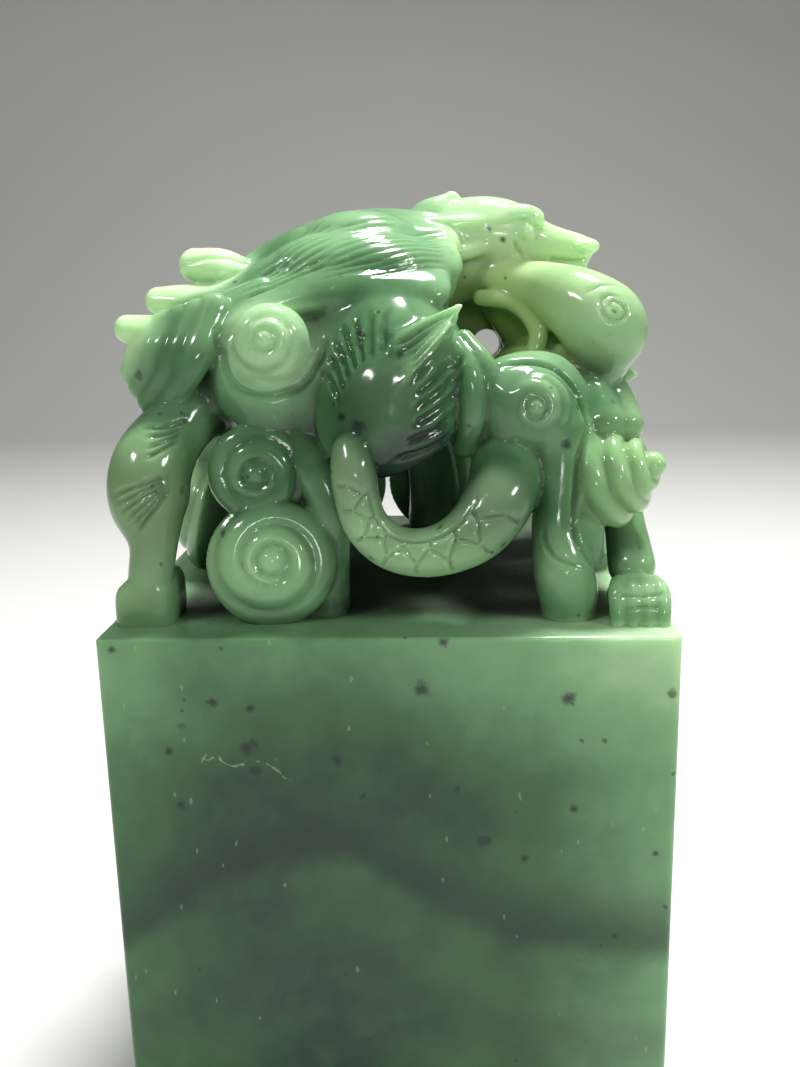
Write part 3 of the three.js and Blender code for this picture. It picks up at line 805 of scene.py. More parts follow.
@dataclass
class HindLegs(Form):
    """On the right a shank with its hock and a paw beside it, on the left a thick calf over a squared heel."""

    right_shank: tuple[Station, ...] = (
        (15.4, -15.8, 16, 3),
        (15.2, -17.2, 11.2, 2.3),
        (14.9, -18, 7.8, 2.1),
        (15.5, -18.6, 4.6, 2.7),
        (16.1, -18.6, 1.6, 2.7),
        (16.1, -18.4, -0.4, 2.4),
    )
    right_sinew: tuple[Station, ...] = (
        (17.4, -14.6, 15, 2.2),
        (17.6, -16.4, 10.4, 1.7),
        (17.9, -17.4, 6.8, 1.5),
        (18.3, -17.4, 4.4, 1.0),
    )
    right_pastern: tuple[Station, ...] = ((20.6, -9, 14, 2.6), (21.8, -11, 8.5, 1.9), (22.2, -15.5, 3.6, 2.2))
    left_calf: tuple[Station, ...] = (
        (-15.5, -11.5, 20.5, 3.8),
        (-18.8, -15, 17.3, 3.1),
        (-20.8, -18.2, 13.8, 3.6),
        (-21, -19.3, 10.6, 3.5),
        (-20.7, -19.8, 7.2, 2.2),
        (-21.2, -19.8, 4.2, 2),
    )

    def masses(self) -> list[Shell]:
        """Shank, sinew, pastern and calf."""
        bones = (self.right_shank, self.right_sinew, self.right_pastern, self.left_calf)
        return [limb(bone) for bone in bones]

    def heel(self) -> Shell:
        """The squared left heel: a five-sided outline carried back to front, rounded over its edges.

        Rings run along y. A ring is the outline about its middle, and the first and last rings are shrunk.

        Returns:
            Its closed shell.
        """
        outline = np.array([(-24.1, -0.8), (-19.4, -0.8), (-19.4, 3.9), (-22.4, 4.3), (-24.1, 2.9)])
        sides = np.linspace(0, 5, 50, endpoint=False)
        edge = sides.astype(int)
        flat = outline[edge] + (outline[(edge + 1) % 5] - outline[edge]) * (sides - edge)[:, None]
        middle = outline.mean(axis=0)
        depth = np.array([-21.6, -21.5, -21.2, -20.6, -18.2, -15.8, -15.2, -14.9, -14.8])
        swell = np.array([0.7, 0.88, 1.02, 1.12, 1.14, 1.12, 1.02, 0.88, 0.7])
        for _ in range(8):
            flat = 0.25 * np.roll(flat, 1, axis=0) + 0.5 * flat + 0.25 * np.roll(flat, -1, axis=0)
        rings = middle + (flat - middle) * swell[:, None, None]
        grid = np.stack([rings[..., 0], np.broadcast_to(depth[:, None], rings.shape[:2]), rings[..., 1]], -1)
        ends = [np.array([middle[0], y, middle[1]]) for y in (depth[0], depth[-1])]
        return shell(grid, *ends)

    def details(self) -> list[Shell]:
        """The right paw and the left heel."""
        return [*paw((22, -18.6), -TURN / 4, 0.88), self.heel()]

    def lines(self) -> list[Stroke]:
        """The hair on the left calf, two groups of short flames that fall away from its inner side, and the knuckles.

        Returns:
            All the strokes.
        """
        upper = strokes(
            [(-17.4, -18.2, 18), (-18, -19.2, 16.4)],
            [(-18.8, -18.8, 17.4), (-19.2, -20, 15.6)],
            [(-20.6, -18.6, 16.2), (-20.4, -20.4, 14.6)],
            count=4,
            width=0.4,
            depth=0.34,
        )
        lower = strokes(
            [(-18.4, -21.4, 13.6), (-18.2, -21.6, 12.4)],
            [(-20.4, -22.2, 13), (-19.6, -22.4, 10.8)],
            [(-23, -21.6, 12), (-21.4, -22.6, 8.8)],
            count=6,
            width=0.42,
            depth=0.36,
        )
        knuckles = [
            Stroke(((19.9, -21.2, z), (22, -21.9, z + 0.3), (24.1, -21.2, z)), width=0.32, depth=0.26)
            for z in (2.5, 1.4)
        ]
        return upper + lower + knuckles


@dataclass
class Forelegs(Form):
    """Shoulders that swell from the chest, each with its spiral, and paws at the front corners."""

    right_leg: tuple[Station, ...] = (
        (7, 7.5, 28, 4.6),
        (13.6, 9, 26.4, 5),
        (18.6, 12.4, 22, 4.8),
        (20.4, 15.6, 15.4, 4.2),
        (21.2, 17.6, 8.6, 3.2),
        (21.4, 18.6, 3, 2.8),
    )
    left_leg: tuple[Station, ...] = (
        (-9, 8, 26.4, 5),
        (-15, 10.4, 23.6, 5.2),
        (-19.2, 14, 17, 4.6),
        (-20.8, 17, 9.6, 3.4),
        (-21.2, 18.6, 3, 2.8),
    )
    left: Scroll = Scroll((-15.8, 13.4, 21.6), 5, (-0.5, 0.8, 0.2), start=0.1, depth=0.6)
    right: Scroll = Scroll((15.6, 13.2, 21.8), 4.8, (0.45, 0.85, 0.2), start=0.4, hand=-1, depth=0.6)

    def masses(self) -> list[Shell]:
        """Legs and chest lobes.

        Returns:
            Their shells.
        """
        return [
            limb(self.right_leg),
            limb(self.left_leg),
            lobe((11.6, 9.6, 20.4), (6.4, 6, 6.6)),
            lobe((-12.6, 9.6, 20), (6.4, 6, 6.6)),
        ]

    def details(self) -> list[Shell]:
        """Paws and spirals."""
        quarter = TURN / 4
        return [*paw((21.4, 19.2), quarter), *paw((-21.2, 19.2), quarter), self.left.shell(), self.right.shell()]


@dataclass
class Tail(Form):
    """The tail: it comes out beside the right haunch, hangs in a loop and ends against the tuft."""

    loop: tuple[Station, ...] = (
        (11.4, -11, 14.8, 3.1),
        (10.9, -16, 13.4, 3.3),
        (9.9, -19.6, 10.9, 3.1),
        (8, -21, 8.5, 2.8),
        (5.4, -21.5, 7, 2.35),
        (2.6, -21.6, 6.6, 2.1),
        (0.2, -21.6, 7.3, 2.0),
        (-1.6, -21.6, 9.2, 1.95),
        (-2.3, -21.6, 11.6, 1.95),
        (-2.5, -21.5, 13.6, 2.0),
        (-2.6, -20.8, 15.2, 1.9),
    )
    scales: int = 7

    def details(self) -> list[Shell]:
        """The tail itself."""
        return [limb(self.loop)]

    def lines(self) -> list[Stroke]:
        """A line along the inner side of the tail, a zigzag beside it, and a short line out from each corner.

        A corner is path(u) + side * across(u), on the side that faces back, where side swings between two places.

        Returns:
            The strokes.
        """
        share = np.linspace(0.22, 0.86, 2 * self.scales + 1)
        values, slopes = spline(self.loop, share)
        radius = values[:, 3:4]
        outward = np.array([0.0, -1.0, 0.0])
        across = unit(np.cross(unit(slopes[:, :3]), outward))

        def at(side: np.ndarray | float, out: float) -> np.ndarray:
            """Places on the tail's skin.

            Args:
                side: how far beside the middle, as a share of the radius.
                out: how far out, as a share of the radius.

            Returns:
                One place for each share along the tail.
            """
            return values[:, :3] + radius * (out * outward + side * across)

        swing = np.where(np.arange(len(share)) % 2, 0.36, -0.22)[:, None]
        corners, inner, outer = at(swing, 0.92), at(0.62, 0.76), at(-0.72, 0.62)
        pairs = [*zip(corners, corners[1:]), *zip(corners[1::2], inner[1::2]), *zip(corners[::2], outer[::2])]
        border = Stroke(tuple(tuple(place) for place in inner), width=0.28, depth=0.24)
        short = [Stroke((tuple(a), tuple((a + b) / 2), tuple(b)), width=0.27, depth=0.22) for a, b in pairs]
        return [border, *short]


@dataclass
class Tuft(Form):
    """The tuft over the tail: a leaf-shaped mound with its point at the upper right, flame strokes swept off its
    right edge and hair that fans out over its left edge and top."""

    outline: tuple[Triple, ...] = (
        (-6.3, -16.6, 18.4),
        (-5.6, -16.4, 21.5),
        (-3.9, -16, 24.4),
        (-1.8, -15.8, 26.2),
        (0.8, -15.8, 27),
        (3.4, -16.6, 26.4),
        (6.5, -17.6, 26.9),
        (5.9, -17.4, 23.9),
        (6.5, -17.6, 21.3),
        (6.4, -17.6, 18.3),
        (5.7, -18, 15.8),
        (3.1, -18.6, 13.9),
        (0, -18.8, 12.7),
        (-2.4, -18.6, 12.8),
        (-5.4, -17.6, 15),
    )

    def details(self) -> list[Shell]:
        """The mound, and the pointed lock at its upper right.

        Returns:
            Their shells.
        """
        return [
            mound(self.outline, (0.4, -22, 19.6), (0, -12, 20), fullness=0.62),
            limb(((1.6, -19, 23.2, 2), (4, -18.5, 25, 1.35), (6.6, -17.8, 27.2, 0.3)), up=(0, -1, 0), thick=0.7),
        ]

    def lines(self) -> list[Stroke]:
        """The flame strokes of the right edge, and the strokes that fan over the top and the left edge.

        Returns:
            All the strokes.
        """
        right = strokes(
            [(2, -21.6, 23.2), (2.8, -21.8, 21), (2.8, -21.6, 18.2), (1.2, -21.2, 14.8)],
            [(3.8, -20.8, 24.6), (4.8, -20.8, 22.4), (4.9, -20.6, 19.2), (3.6, -20.4, 15.2)],
            [(5.6, -18.8, 26.4), (6.7, -18.4, 24), (6.9, -18.2, 20.8), (5.8, -18.8, 16.4)],
            count=8,
            width=0.62,
            depth=0.42,
        )
        left = strokes(
            [(-3.8, -20.6, 19.6), (-2.6, -20.8, 22.4), (-0.2, -20.6, 23.8)],
            [(-4.8, -19.6, 21.2), (-3.2, -19.4, 24.2), (0, -19.2, 25.4)],
            [(-5.7, -17.6, 22.2), (-3.4, -17, 25.6), (0.4, -17, 26.8)],
            count=7,
            width=0.5,
            depth=0.34,
        )
        lock = strokes(
            [(1.4, -20.4, 24.4), (1.8, -20.6, 23.4), (2.6, -20.5, 22.2)],
            [(3.6, -19.5, 25.7), (4, -19.5, 24.9), (4.6, -19.4, 24)],
            [(6, -18.1, 27), (6.4, -18.1, 26.8), (6.6, -18, 26)],
            count=4,
            width=0.5,
            depth=0.42,
        )
        return right + left + lock


@dataclass
class Mane(Form):
    """Broad soft locks that leave the neck, flow left over the back and end in three raised tips, with more falling
    down the far side."""

    upper: tuple[Station, ...] = (
        (5, -3.5, 33.6, 2),
        (-1, -4.5, 34.2, 2.2),
        (-8, -5, 32.6, 2.2),
        (-12.8, -7, 29.8, 2),
        (-16, -8, 31, 1.8),
        (-18.2, -8, 31.4, 1.5),
    )
    middle: tuple[Station, ...] = (
        (5, -7, 31.4, 2),
        (-2, -9, 31.8, 2.2),
        (-10, -9.5, 30, 2.1),
        (-15.6, -10, 27.8, 1.8),
        (-19.2, -10, 28, 1.6),
        (-21.4, -10, 28.2, 1.2),
    )
    lower: tuple[Station, ...] = (
        (4, -11, 29.2, 2),
        (-4, -12.6, 29.6, 2.1),
        (-11, -12.6, 28, 2),
        (-16, -13, 26, 2.2),
        (-20, -14, 25.2, 1.8),
        (-23, -15, 25.8, 1.2),
    )
    up: Triple = (0, -0.5, 1)

    def masses(self) -> list[Shell]:
        """The three long locks, broad and flat where they cover the back, and the smooth swell on top of them."""
        near = [limb(lock[:4], wide=1.9, thick=0.8, up=self.up) for lock in (self.upper, self.middle, self.lower)]
        return near + [lobe((-2.8, -5.6, 33.4), (5.4, 4, 2.8))]

    def details(self) -> list[Shell]:
        """The three raised tips and the locks on the far side.

        Returns:
            Their shells.
        """
        tips = [limb(lock[2:], wide=1.25, up=self.up) for lock in (self.upper, self.middle, self.lower)]
        return tips + locks(
            [(5, 4, 32.4), (-6, 6.4, 33.4), (-9.5, 2, 32)],
            [(5, 11, 31), (-6, 13, 30.6), (-14, 4, 29.4)],
            [(4.4, 18.4, 25), (-6, 20, 23.6), (-18, 6, 24)],
            count=6,
            radius=2.2,
            up=(0, 0.3, 1),
        )

    def lines(self) -> list[Stroke]:
        """Fine hair lines that flow from the neck to the left, along the locks.

        Returns:
            All the strokes, near and far.
        """
        outer = strokes(
            [(-6, -6.4, 34.8), (-4.6, -10, 33.2), (-4.8, -13.4, 30.8)],
            [(-8.6, -7.4, 33.6), (-8, -11, 31.8), (-8.6, -14, 29.4)],
            [(-11.8, -8.6, 31.8), (-11.8, -12.2, 30), (-12.6, -14.6, 28)],
            count=9,
            width=0.34,
            depth=0.2,
        )
        inner = strokes(
            [(5.4, -5.4, 33.6), (5.6, -8, 32.6), (5.4, -11, 30.6)],
            [(2.8, -7.6, 34), (2.6, -10.4, 32.2), (2, -12.8, 30.2)],
            [(0, -9.4, 33.6), (-0.4, -12, 31.4), (-1.2, -14, 29)],
            count=9,
            width=0.3,
            depth=0.13,
        )
        between = strokes(
            [(0.6, -7, 34.6), (0.2, -10.4, 32.8), (0, -13.2, 30.4)],
            [(-1.8, -8.2, 34.4), (-2, -11.4, 32.4), (-2.4, -14, 30)],
            [(-4.4, -9, 33.8), (-4.8, -12.4, 31.6), (-5.2, -14.6, 29.2)],
            count=9,
            width=0.3,
            depth=0.13,
        )
        tips = strokes(
            [(-12, -7.2, 32), (-12, -9.8, 31)],
            [(-15, -8, 33), (-16, -9.8, 29.8)],
            [(-18, -8, 33), (-21, -9.8, 29.6)],
            count=3,
            width=0.42,
            depth=0.2,
        )
        far = strokes(
            [(5, 6, 35), (-6, 8, 35), (-10, 3, 34)],
            [(5, 12, 33), (-6, 14, 32.6), (-14, 5, 31)],
            [(4.4, 18.6, 27), (-6, 20.4, 25), (-18, 7, 26)],
            count=10,
            width=0.5,
            depth=0.3,
        )
        return outer + inner + between + tips + far


@dataclass
class Fan(Form):
    """The fluted fan that drops from the lowest tip over the left hip."""

    hip: tuple[Station, ...] = ((-12, -10.6, 25.6, 3.2), (-16.6, -12.2, 23.6, 3.4), (-18.6, -13.2, 20.4, 2.8))

    def masses(self) -> list[Shell]:
        """The hip under the fan."""
        return [limb(self.hip)]

    def details(self) -> list[Shell]:
        """The flutes: smooth folds that swing down and to the left.

        Returns:
            Their shells.
        """
        return locks(
            [(-19.6, -14.4, 26), (-15, -15, 27.4)],
            [(-21.6, -15.6, 23.8), (-16.8, -17, 22.8)],
            [(-23, -14.8, 21.8), (-20.6, -15.6, 18)],
            count=4,
            radius=1.45,
            tip=1.1,
        )


@dataclass
class Clouds(Form):
    """The cloud scrolls that close in the space under the body, on stems that run up to it."""

    stems: tuple[tuple[Station, ...], ...] = (
        ((-6.8, -11.4, 15.5, 3), (-6, -14.4, 9, 2.2), (-6, -16, 4.8, 2.1), (-6.6, -17, -0.4, 2)),
        ((-10.8, -11, 18, 4.6), (-10.8, -13, 12.6, 4.4), (-9.8, -15.6, 7, 2.6)),
        ((-6.2, -15.8, 6.4, 2.6), (-5, -16.6, 9.6, 2.3), (-6.6, -16, 13.4, 2.4), (-8.6, -14.6, 16.6, 2.4)),
        ((-5.5, -16.6, 7, 2), (-5.7, -17, -0.4, 2.1)),
        ((18.4, 1, 20, 3.4), (19.4, 2, 12, 2.6), (18.8, 2.4, -0.4, 3.2)),
        ((-15.5, 1, 20, 3.4), (-18.8, 2, 12, 2.6), (-18.8, 2.4, -0.4, 3.2)),
        ((-6, 12, 18, 4), (-8.6, 15, 9, 4.4), (-9, 15.4, -0.4, 4.4)),
        ((2, 12.6, 18, 4), (4.8, 15, 9, 4.4), (5, 15.4, -0.4, 4.4)),
    )
    scrolls: tuple[Scroll, ...] = (
        Scroll((-10.3, -18.9, 5.3), 5.8, (0.12, -1, 0.24), start=0.2, turns=1.9, depth=0.42, relief=0.42),
        Scroll((-11.6, -17.2, 12.9), 4.5, (0.05, -1, 0.1), start=0.65, turns=1.7, depth=0.42, relief=0.44),
        Scroll((19.6, 2.4, 5.8), 6.4, (1, 0, 0.2), start=0.3, depth=0.6),
        Scroll((-19.8, 1.4, 5.8), 6.4, (-1, 0, 0.2), start=0.2, hand=-1, depth=0.6),
        Scroll((-9.4, 17, 5.8), 7.1, (0, 1, 0.2), start=0.2, depth=0.66),
        Scroll((5.4, 17, 5.8), 7.1, (0, 1, 0.2), start=0.3, hand=-1, depth=0.66),
        Scroll((-2, 16.4, 13.6), 6.3, (0, 1, 0.1), start=0.6, hand=-1),
    )

    def masses(self) -> list[Shell]:
        """The stems, and the thickness of the lower near scroll."""
        return [limb(stem) for stem in self.stems] + [lobe((-10.2, -16.2, 5.1), (5.6, 3.2, 5.6))]

    def details(self) -> list[Shell]:
        """The scrolls."""
        return [scroll.shell() for scroll in self.scrolls]


@dataclass
class PointedScroll(Form):
    """The pointed scroll that stands out to the right of the hind leg, and the two ribs of hair above it."""

    root: tuple[Station, ...] = ((14.5, -13.5, 12.4, 4.4), (17.5, -15, 12.2, 4.2))
    core: tuple[Station, ...] = (
        (17.2, -14.6, 11.4, 4.1),
        (20, -15.6, 11.8, 3.8),
        (22.1, -16.4, 12.5, 2.8),
        (23.5, -17, 13.2, 1.2),
    )
    turns: float = 3.2

    def coil(self) -> Shell:
        """The rope round the core: a spiral staircase that climbs from root to tip while it narrows.

        Its path is core(u) + (girth of the core - 0.3 * girth of the rope) * (cos a * up + sin a * side), where a is
        turns * u turns.

        Returns:
            The closed shell of the rope.
        """
        share = np.linspace(0, 1, 80)
        values = spline(self.core, 0.08 + 0.9 * share)[0]
        axis = unit(np.array(self.core[-1][:3]) - np.array(self.core[0][:3]))
        side = unit(np.cross(axis, (0, 0, 1)))
        up = np.cross(side, axis)
        angle = TURN * (self.turns * share + 0.55)[:, None]
        girth = 1.25 - 0.7 * share
        reach = np.maximum(values[:, 3] - 0.3 * girth, 0)[:, None]
        place = values[:, :3] + reach * (np.cos(angle) * up + np.sin(angle) * side)
        return limb([(*p, r) for p, r in zip(place, girth)], up=tuple(axis))

    def masses(self) -> list[Shell]:
        """The root that carries it."""
        return [limb(self.root)]

    def details(self) -> list[Shell]:
        """The core, the rope and the ribs.

        Returns:
            Their shells.
        """
        return [
            limb(self.core),
            self.coil(),
            limb(((19, -12.6, 18.6, 1.9), (19.6, -14.6, 16.6, 2))),
            limb(((21, -12, 18.2, 1.7), (21.4, -14, 16.4, 1.8))),
        ]


@dataclass
class Shoulder(Form):
    """The right shoulder: a thick curl that arches out from the neck and down, the wall of the hollow under it, and
    the leaf-like locks at its outer edge."""

    curl: tuple[Station, ...] = (
        (7, 1, 30.6, 2.8),
        (11, -2.4, 29.2, 2.3),
        (15, -5, 28.3, 2.8),
        (18.4, -7.4, 26.6, 3.7),
        (20.3, -8, 24.7, 4.1),
        (20.1, -6.8, 22.3, 3.2),
    )
    rim: tuple[Station, ...] = (
        (8.8, -4.4, 27.8, 0.8),
        (11.6, -5, 27.4, 0.9),
        (13.5, -5.6, 26, 0.95),
        (14.3, -6, 24.2, 0.95),
        (13.8, -6.2, 22.4, 0.8),
    )
    wall: tuple[Station, ...] = (
        (12.4, 2, 28, 3.6),
        (15.2, 1, 24.8, 4.4),
        (17.4, -3, 20.8, 3.8),
        (17.4, -8, 17.4, 3.8),
    )

    def masses(self) -> list[Shell]:
        """The curl, the wall and the flank below them."""
        return [limb(self.curl), limb(self.wall), lobe((13.6, -3, 20), (5, 7, 3.4))]

    def details(self) -> list[Shell]:
        """The ring inside the hollow and the leaf-like locks.

        Returns:
            Their shells.
        """
        return [limb(self.rim)] + locks(
            [(19.4, -4, 23), (19, -6, 20)],
            [(22.2, -4, 22.2), (21.6, -6.4, 18.8)],
            [(24.1, -3.6, 22.2), (23.6, -6, 18)],
            count=3,
            radius=1.6,
        )

    def lines(self) -> list[Stroke]:
        """The small curl on the end, a spiral of one turn and a half, and a short stroke over it.

        Returns:
            Both strokes.
        """
        share = np.linspace(0, 1, 25)[:, None]
        angle = TURN * (0.15 + 1.5 * share)
        turn = np.cos(angle) * (0.9, -0.2, 0) + np.sin(angle) * (0, -0.25, 0.95)
        curl = np.array([20.8, -11.6, 26.8]) + (2 - 1.5 * share) * turn
        high = ((18, -11.6, 28.6), (20, -11, 29.6), (22, -10, 29.3))
        wound = Stroke(tuple(tuple(place) for place in curl), width=0.34, depth=0.26)
        return [wound, Stroke(high, width=0.3, depth=0.2)]


@dataclass
class Head(Form):
    """The head, turned to the right: skull, snout, jaw, nose, brows, eyes, horns and ears laid back, and crest."""

    neck: tuple[Station, ...] = ((-4, 5, 28.2, 6), (1.6, 3.2, 29.8, 4.9), (7, 0.4, 31.8, 4.3))
    skull: tuple[Station, ...] = (
        (4.6, -0.4, 33, 3.2),
        (8.4, -0.8, 33.7, 3.5),
        (12, -1, 33.4, 3.2),
        (15, -1, 32.7, 2.1),
        (18.6, -1, 32.1, 1.5),
    )
    jaw: tuple[Station, ...] = ((8, -1, 31.2, 2.6), (12.6, -1, 30.4, 1.9), (16, -1, 30, 1.2), (18.8, -1, 30.4, 0.8))
    crest: tuple[Station, ...] = (
        (0, -1, 31.8, 2.6),
        (3, -0.9, 33.9, 2.3),
        (5, -0.7, 35.9, 1.8),
        (6.2, -0.5, 37.36, 0.72),
    )
    middle: float = -1.0

    def masses(self) -> list[Shell]:
        """Neck, skull and jaw."""
        return [limb(self.neck, up=(0, 0, 1)), limb(self.skull, wide=1.1), limb(self.jaw, wide=1.2)]

    def details(self) -> list[Shell]:
        """Crest, nose, brows, eyes, horns and ears.

        Returns:
            Their shells.
        """
        pieces = [limb(self.crest, wide=1.2), lobe((19, self.middle, 32.5), (1.7, 2, 0.9))]
        y = self.middle
        for side in (-1, 1):
            horn = (
                (10.8, y + side * 2.2, 34.8, 0.8),
                (7, y + side * 2.8, 34.8, 0.8),
                (3.6, y + side * 3.4, 35, 0.4),
            )
            ear = (
                (9, y + side * 2.8, 32.6, 0.8),
                (6.8, y + side * 3.7, 32, 0.8),
                (4.6, y + side * 4.3, 32, 0.4),
            )
            brow = lobe((12.6, y + side * 1.7, 35.2), (2.5, 1.2, 1.4))
            eye = lobe((13.2, y + side * 2.6, 33.9), (0.95, 0.7, 0.85))
            pieces += [brow, eye, limb(horn), limb(ear)]
        return pieces

    def lines(self) -> list[Stroke]:
        """The mouth, the fold behind it and the edge of the brow, on both sides.

        Returns:
            The strokes.
        """
        lines = []
        y = self.middle
        for side in (-1, 1):
            mouth = ((20.2, y + side * 0.8, 31.2), (17, y + side * 1.6, 31), (13.6, y + side * 2.8, 31.4))
            fold = ((13.6, y + side * 2.8, 31.4), (12.4, y + side * 3.1, 32.2), (12, y + side * 3.2, 33.2))
            brow = ((15, y + side * 1.6, 33.9), (13, y + side * 2.6, 35), (10.4, y + side * 3, 34.6))
            lines += [
                Stroke(mouth, width=0.36, depth=0.34),
                Stroke(fold, width=0.34, depth=0.26),
                Stroke(brow, width=0.32, depth=0.24),
            ]
        return lines


@dataclass
class SealBlock:
    """The square block: its long edges and rims are rounded by hand, a little unevenly, with small chips.

    A chip is its x on the near upper edge, its width and how much it adds to the rim's radius. The waves are the
    numbers of swells in the upper rim round the whole block, and seed makes their heights and places.
    """

    corner: float = 0.6
    rim: float = 0.32
    flat: float = 0.06
    waves: tuple[int, ...] = (9, 17, 31, 53, 97)
    seed: int = 11
    chips: tuple[tuple[float, float, float], ...] = ((-7.2, 0.9, 0.4), (14.5, 0.5, 0.25), (-19, 0.4, 0.2))

    def outline(self) -> tuple[np.ndarray, np.ndarray]:
        """The square with rounded corners: places on it, and the outward directions there.

        One side is a straight run and a quarter circle, and the other three are the same turned by quarter turns.

        Returns:
            The places and the directions, as rows of x and y.
        """
        half = BLOCK_WIDTH / 2
        run = np.linspace(-half + self.corner, half - self.corner, 150, endpoint=False)
        bend = np.linspace(0, TURN / 4, 7, endpoint=False)
        centre = half - self.corner
        x = np.concatenate([np.full(len(run), half), centre + self.corner * np.cos(bend)])
        y = np.concatenate([run, centre + self.corner * np.sin(bend)])
        out_x = np.concatenate([np.ones(len(run)), np.cos(bend)])
        out_y = np.concatenate([np.zeros(len(run)), np.sin(bend)])
        sides = [(x, y, out_x, out_y)]
        for _ in range(3):
            a, b, c, d = sides[-1]
            sides.append((-b, a, -d, c))
        x, y, out_x, out_y = (np.concatenate(part) for part in zip(*sides))
        return np.stack([x, y], 1), np.stack([out_x, out_y], 1)

    def solid(self) -> Shell:
        """The block: the outline carried up, drawn in by rim * (1 - cos) over the rounded rims.

        The upper rim's radius wavers along the outline and swells at each chip of the near edge. A narrow flat strip
        follows each rim, so that the large faces shade flat.

        Returns:
            The block's closed shell, from 0 up.
        """
        place, out = self.outline()
        rng = np.random.default_rng(self.seed)
        around = np.arange(len(place)) * TURN / len(place)
        waver = [rng.uniform(0.01, 0.03) * np.sin(around * wave + rng.uniform(0, TURN)) for wave in self.waves]
        radius = self.rim + sum(waver)
        for x, width, depth in self.chips:
            radius = radius + (out[:, 1] < -0.99) * depth * np.exp(-(((place[:, 0] - x) / width) ** 2))
        bend = np.linspace(0, TURN / 4, 6)[:, None]
        low_in, low_z = self.rim * (1 - np.sin(bend)), self.rim * (1 - np.cos(bend))
        high_in, high_z = radius * (1 - np.cos(bend)), BLOCK_HEIGHT - radius * (1 - np.sin(bend))
        even = np.ones_like(radius)
        inward = [low_in[:1] + self.flat, low_in, low_in[-1:], high_in[:1], high_in, high_in[-1:] + self.flat]
        upward = [low_z[:1], low_z, low_z[-1:] + self.flat, high_z[:1] - self.flat, high_z, high_z[-1:]]
        inward, upward = (np.vstack([row * even for row in rows]) for rows in (inward, upward))
        grid = np.concatenate([place - out * inward[..., None], upward[..., None]], -1)
        return shell(grid, np.zeros(3), np.array([0, 0, BLOCK_HEIGHT]))


class Tree:
    """A small helper round a node tree, so that a finish reads as a list of steps."""

    def __init__(self, tree: bpy.types.NodeTree) -> None:
        """Keeps the tree."""
        self.tree = tree

    def add(self, kind: str, settings: dict | None = None, **inputs: object) -> bpy.types.Node:
        """A new node.

        Args:
            kind: Blender's name for it.
            settings: its properties.
            **inputs: a value or a socket for each of its inputs, named _0, _1 and so on or by its own name.

        Returns:
            The node.
        """
        node = self.tree.nodes.new(kind)
        for name, value in (settings or {}).items():
            setattr(node, name, value)
        for name, value in inputs.items():
            socket = node.inputs[int(name[1:]) if name[0] == "_" else name.replace("_", " ")]
            if isinstance(value, Socket):
                self.tree.links.new(value, socket)
            else:
                socket.default_value = value
        return node

    def math(self, operation: str, *values: object) -> Socket:
        """The result of an operation.

        Args:
            operation: Blender's name for it.
            *values: the numbers or sockets that it is done on.

        Returns:
            The socket that gives the result.
        """
        inputs = {f"_{k}": value for k, value in enumerate(values)}
        return self.add("ShaderNodeMath", {"operation": operation}, **inputs).outputs[0]

    def weighted(self, start: object, *parts: tuple[Socket, object]) -> Socket:
        """A weighted sum.

        Args:
            start: a number or socket that is added as it is.
            *parts: the sockets that are added, each with the number or socket that it is multiplied by.

        Returns:
            The socket that gives the sum.
        """
        result = start
        for value, weight in parts:
            result = self.math("MULTIPLY_ADD", value, weight, result)
        return result

    def distance(self, place: Socket, centre: Triple) -> Socket:
        """How far a place is from a centre.

        Args:
            place: the place in metres.
            centre: the centre in millimetres.

        Returns:
            The socket that gives it in metres.
        """
        away = self.add("ShaderNodeVectorMath", {"operation": "DISTANCE"}, _0=place)
        away.inputs[1].default_value = tuple(c * MM for c in centre)
        return away.outputs["Value"]

    def mix(self, share: object, a: object, b: object) -> Socket:
        """One colour turning into another.

        Args:
            share: how much of b there is, from 0 to 1.
            a: the first colour.
            b: the second colour.

        Returns:
            The socket that gives the colour.
        """
        node = self.add("ShaderNodeMix", {"data_type": "RGBA", "clamp_factor": True})
        for socket, value in ((node.inputs[0], share), (node.inputs[6], a), (node.inputs[7], b)):
            if isinstance(value, Socket):
                self.tree.links.new(value, socket)
            else:
                socket.default_value = value
        return node.outputs[2]

    def ramp(self, value: Socket, low: float, high: float) -> Socket:
        """A smooth step from 0 to 1.

        Args:
            value: what it follows.
            low: where it is 0.
            high: where it is 1. It lies below low where the step falls.

        Returns:
            The socket that gives the step.
        """
        settings = {"interpolation_type": "SMOOTHSTEP"}
        node = self.add("ShaderNodeMapRange", settings, _0=value, _1=low, _2=high)
        return node.outputs[0]


def srgb(red: int, green: int, blue: int) -> tuple[float, float, float, float]:
    """A screen colour as the linear one that nodes take.

    Args:
        red: from 0 to 255.
        green: from 0 to 255.
        blue: from 0 to 255.

    Returns:
        Red, green, blue and a full alpha.
    """
    shares = [value / 255 for value in (red, green, blue)]
    return (*(c / 12.92 if c <= 0.04045 else ((c + 0.055) / 1.055) ** 2.4 for c in shares), 1.0)


@dataclass(frozen=True)
class ToneAndLightPatch:
    """A paler or darker place on the dragon, partly the stone's own tone and partly painted light and shade: its
    middle in the dragon's drawing, its reach, how much paler it is, and how much yellower. The yellower places are
    partly a painted glow."""

    place: Triple
    reach: float
    lift: float
    warmth_and_glow: float = 0.0


@dataclass(frozen=True)
class Site:
    """Where a point of the stone lies: the sockets that the effects of the stone share.

    place is its place in metres and x, y and z are the parts of that. width runs from 0 to 1 across the block. carved
    is 1 on the dragon and 0 on the block, and plain the other way round. around is the stone that shelters it. cloud
    and mottle are a broad and a fine noise about 0.
    """

    place: Socket
    x: Socket
    y: Socket
    z: Socket
    width: Socket
    carved: Socket
    plain: Socket
    around: Socket
    cloud: Socket
    mottle: Socket


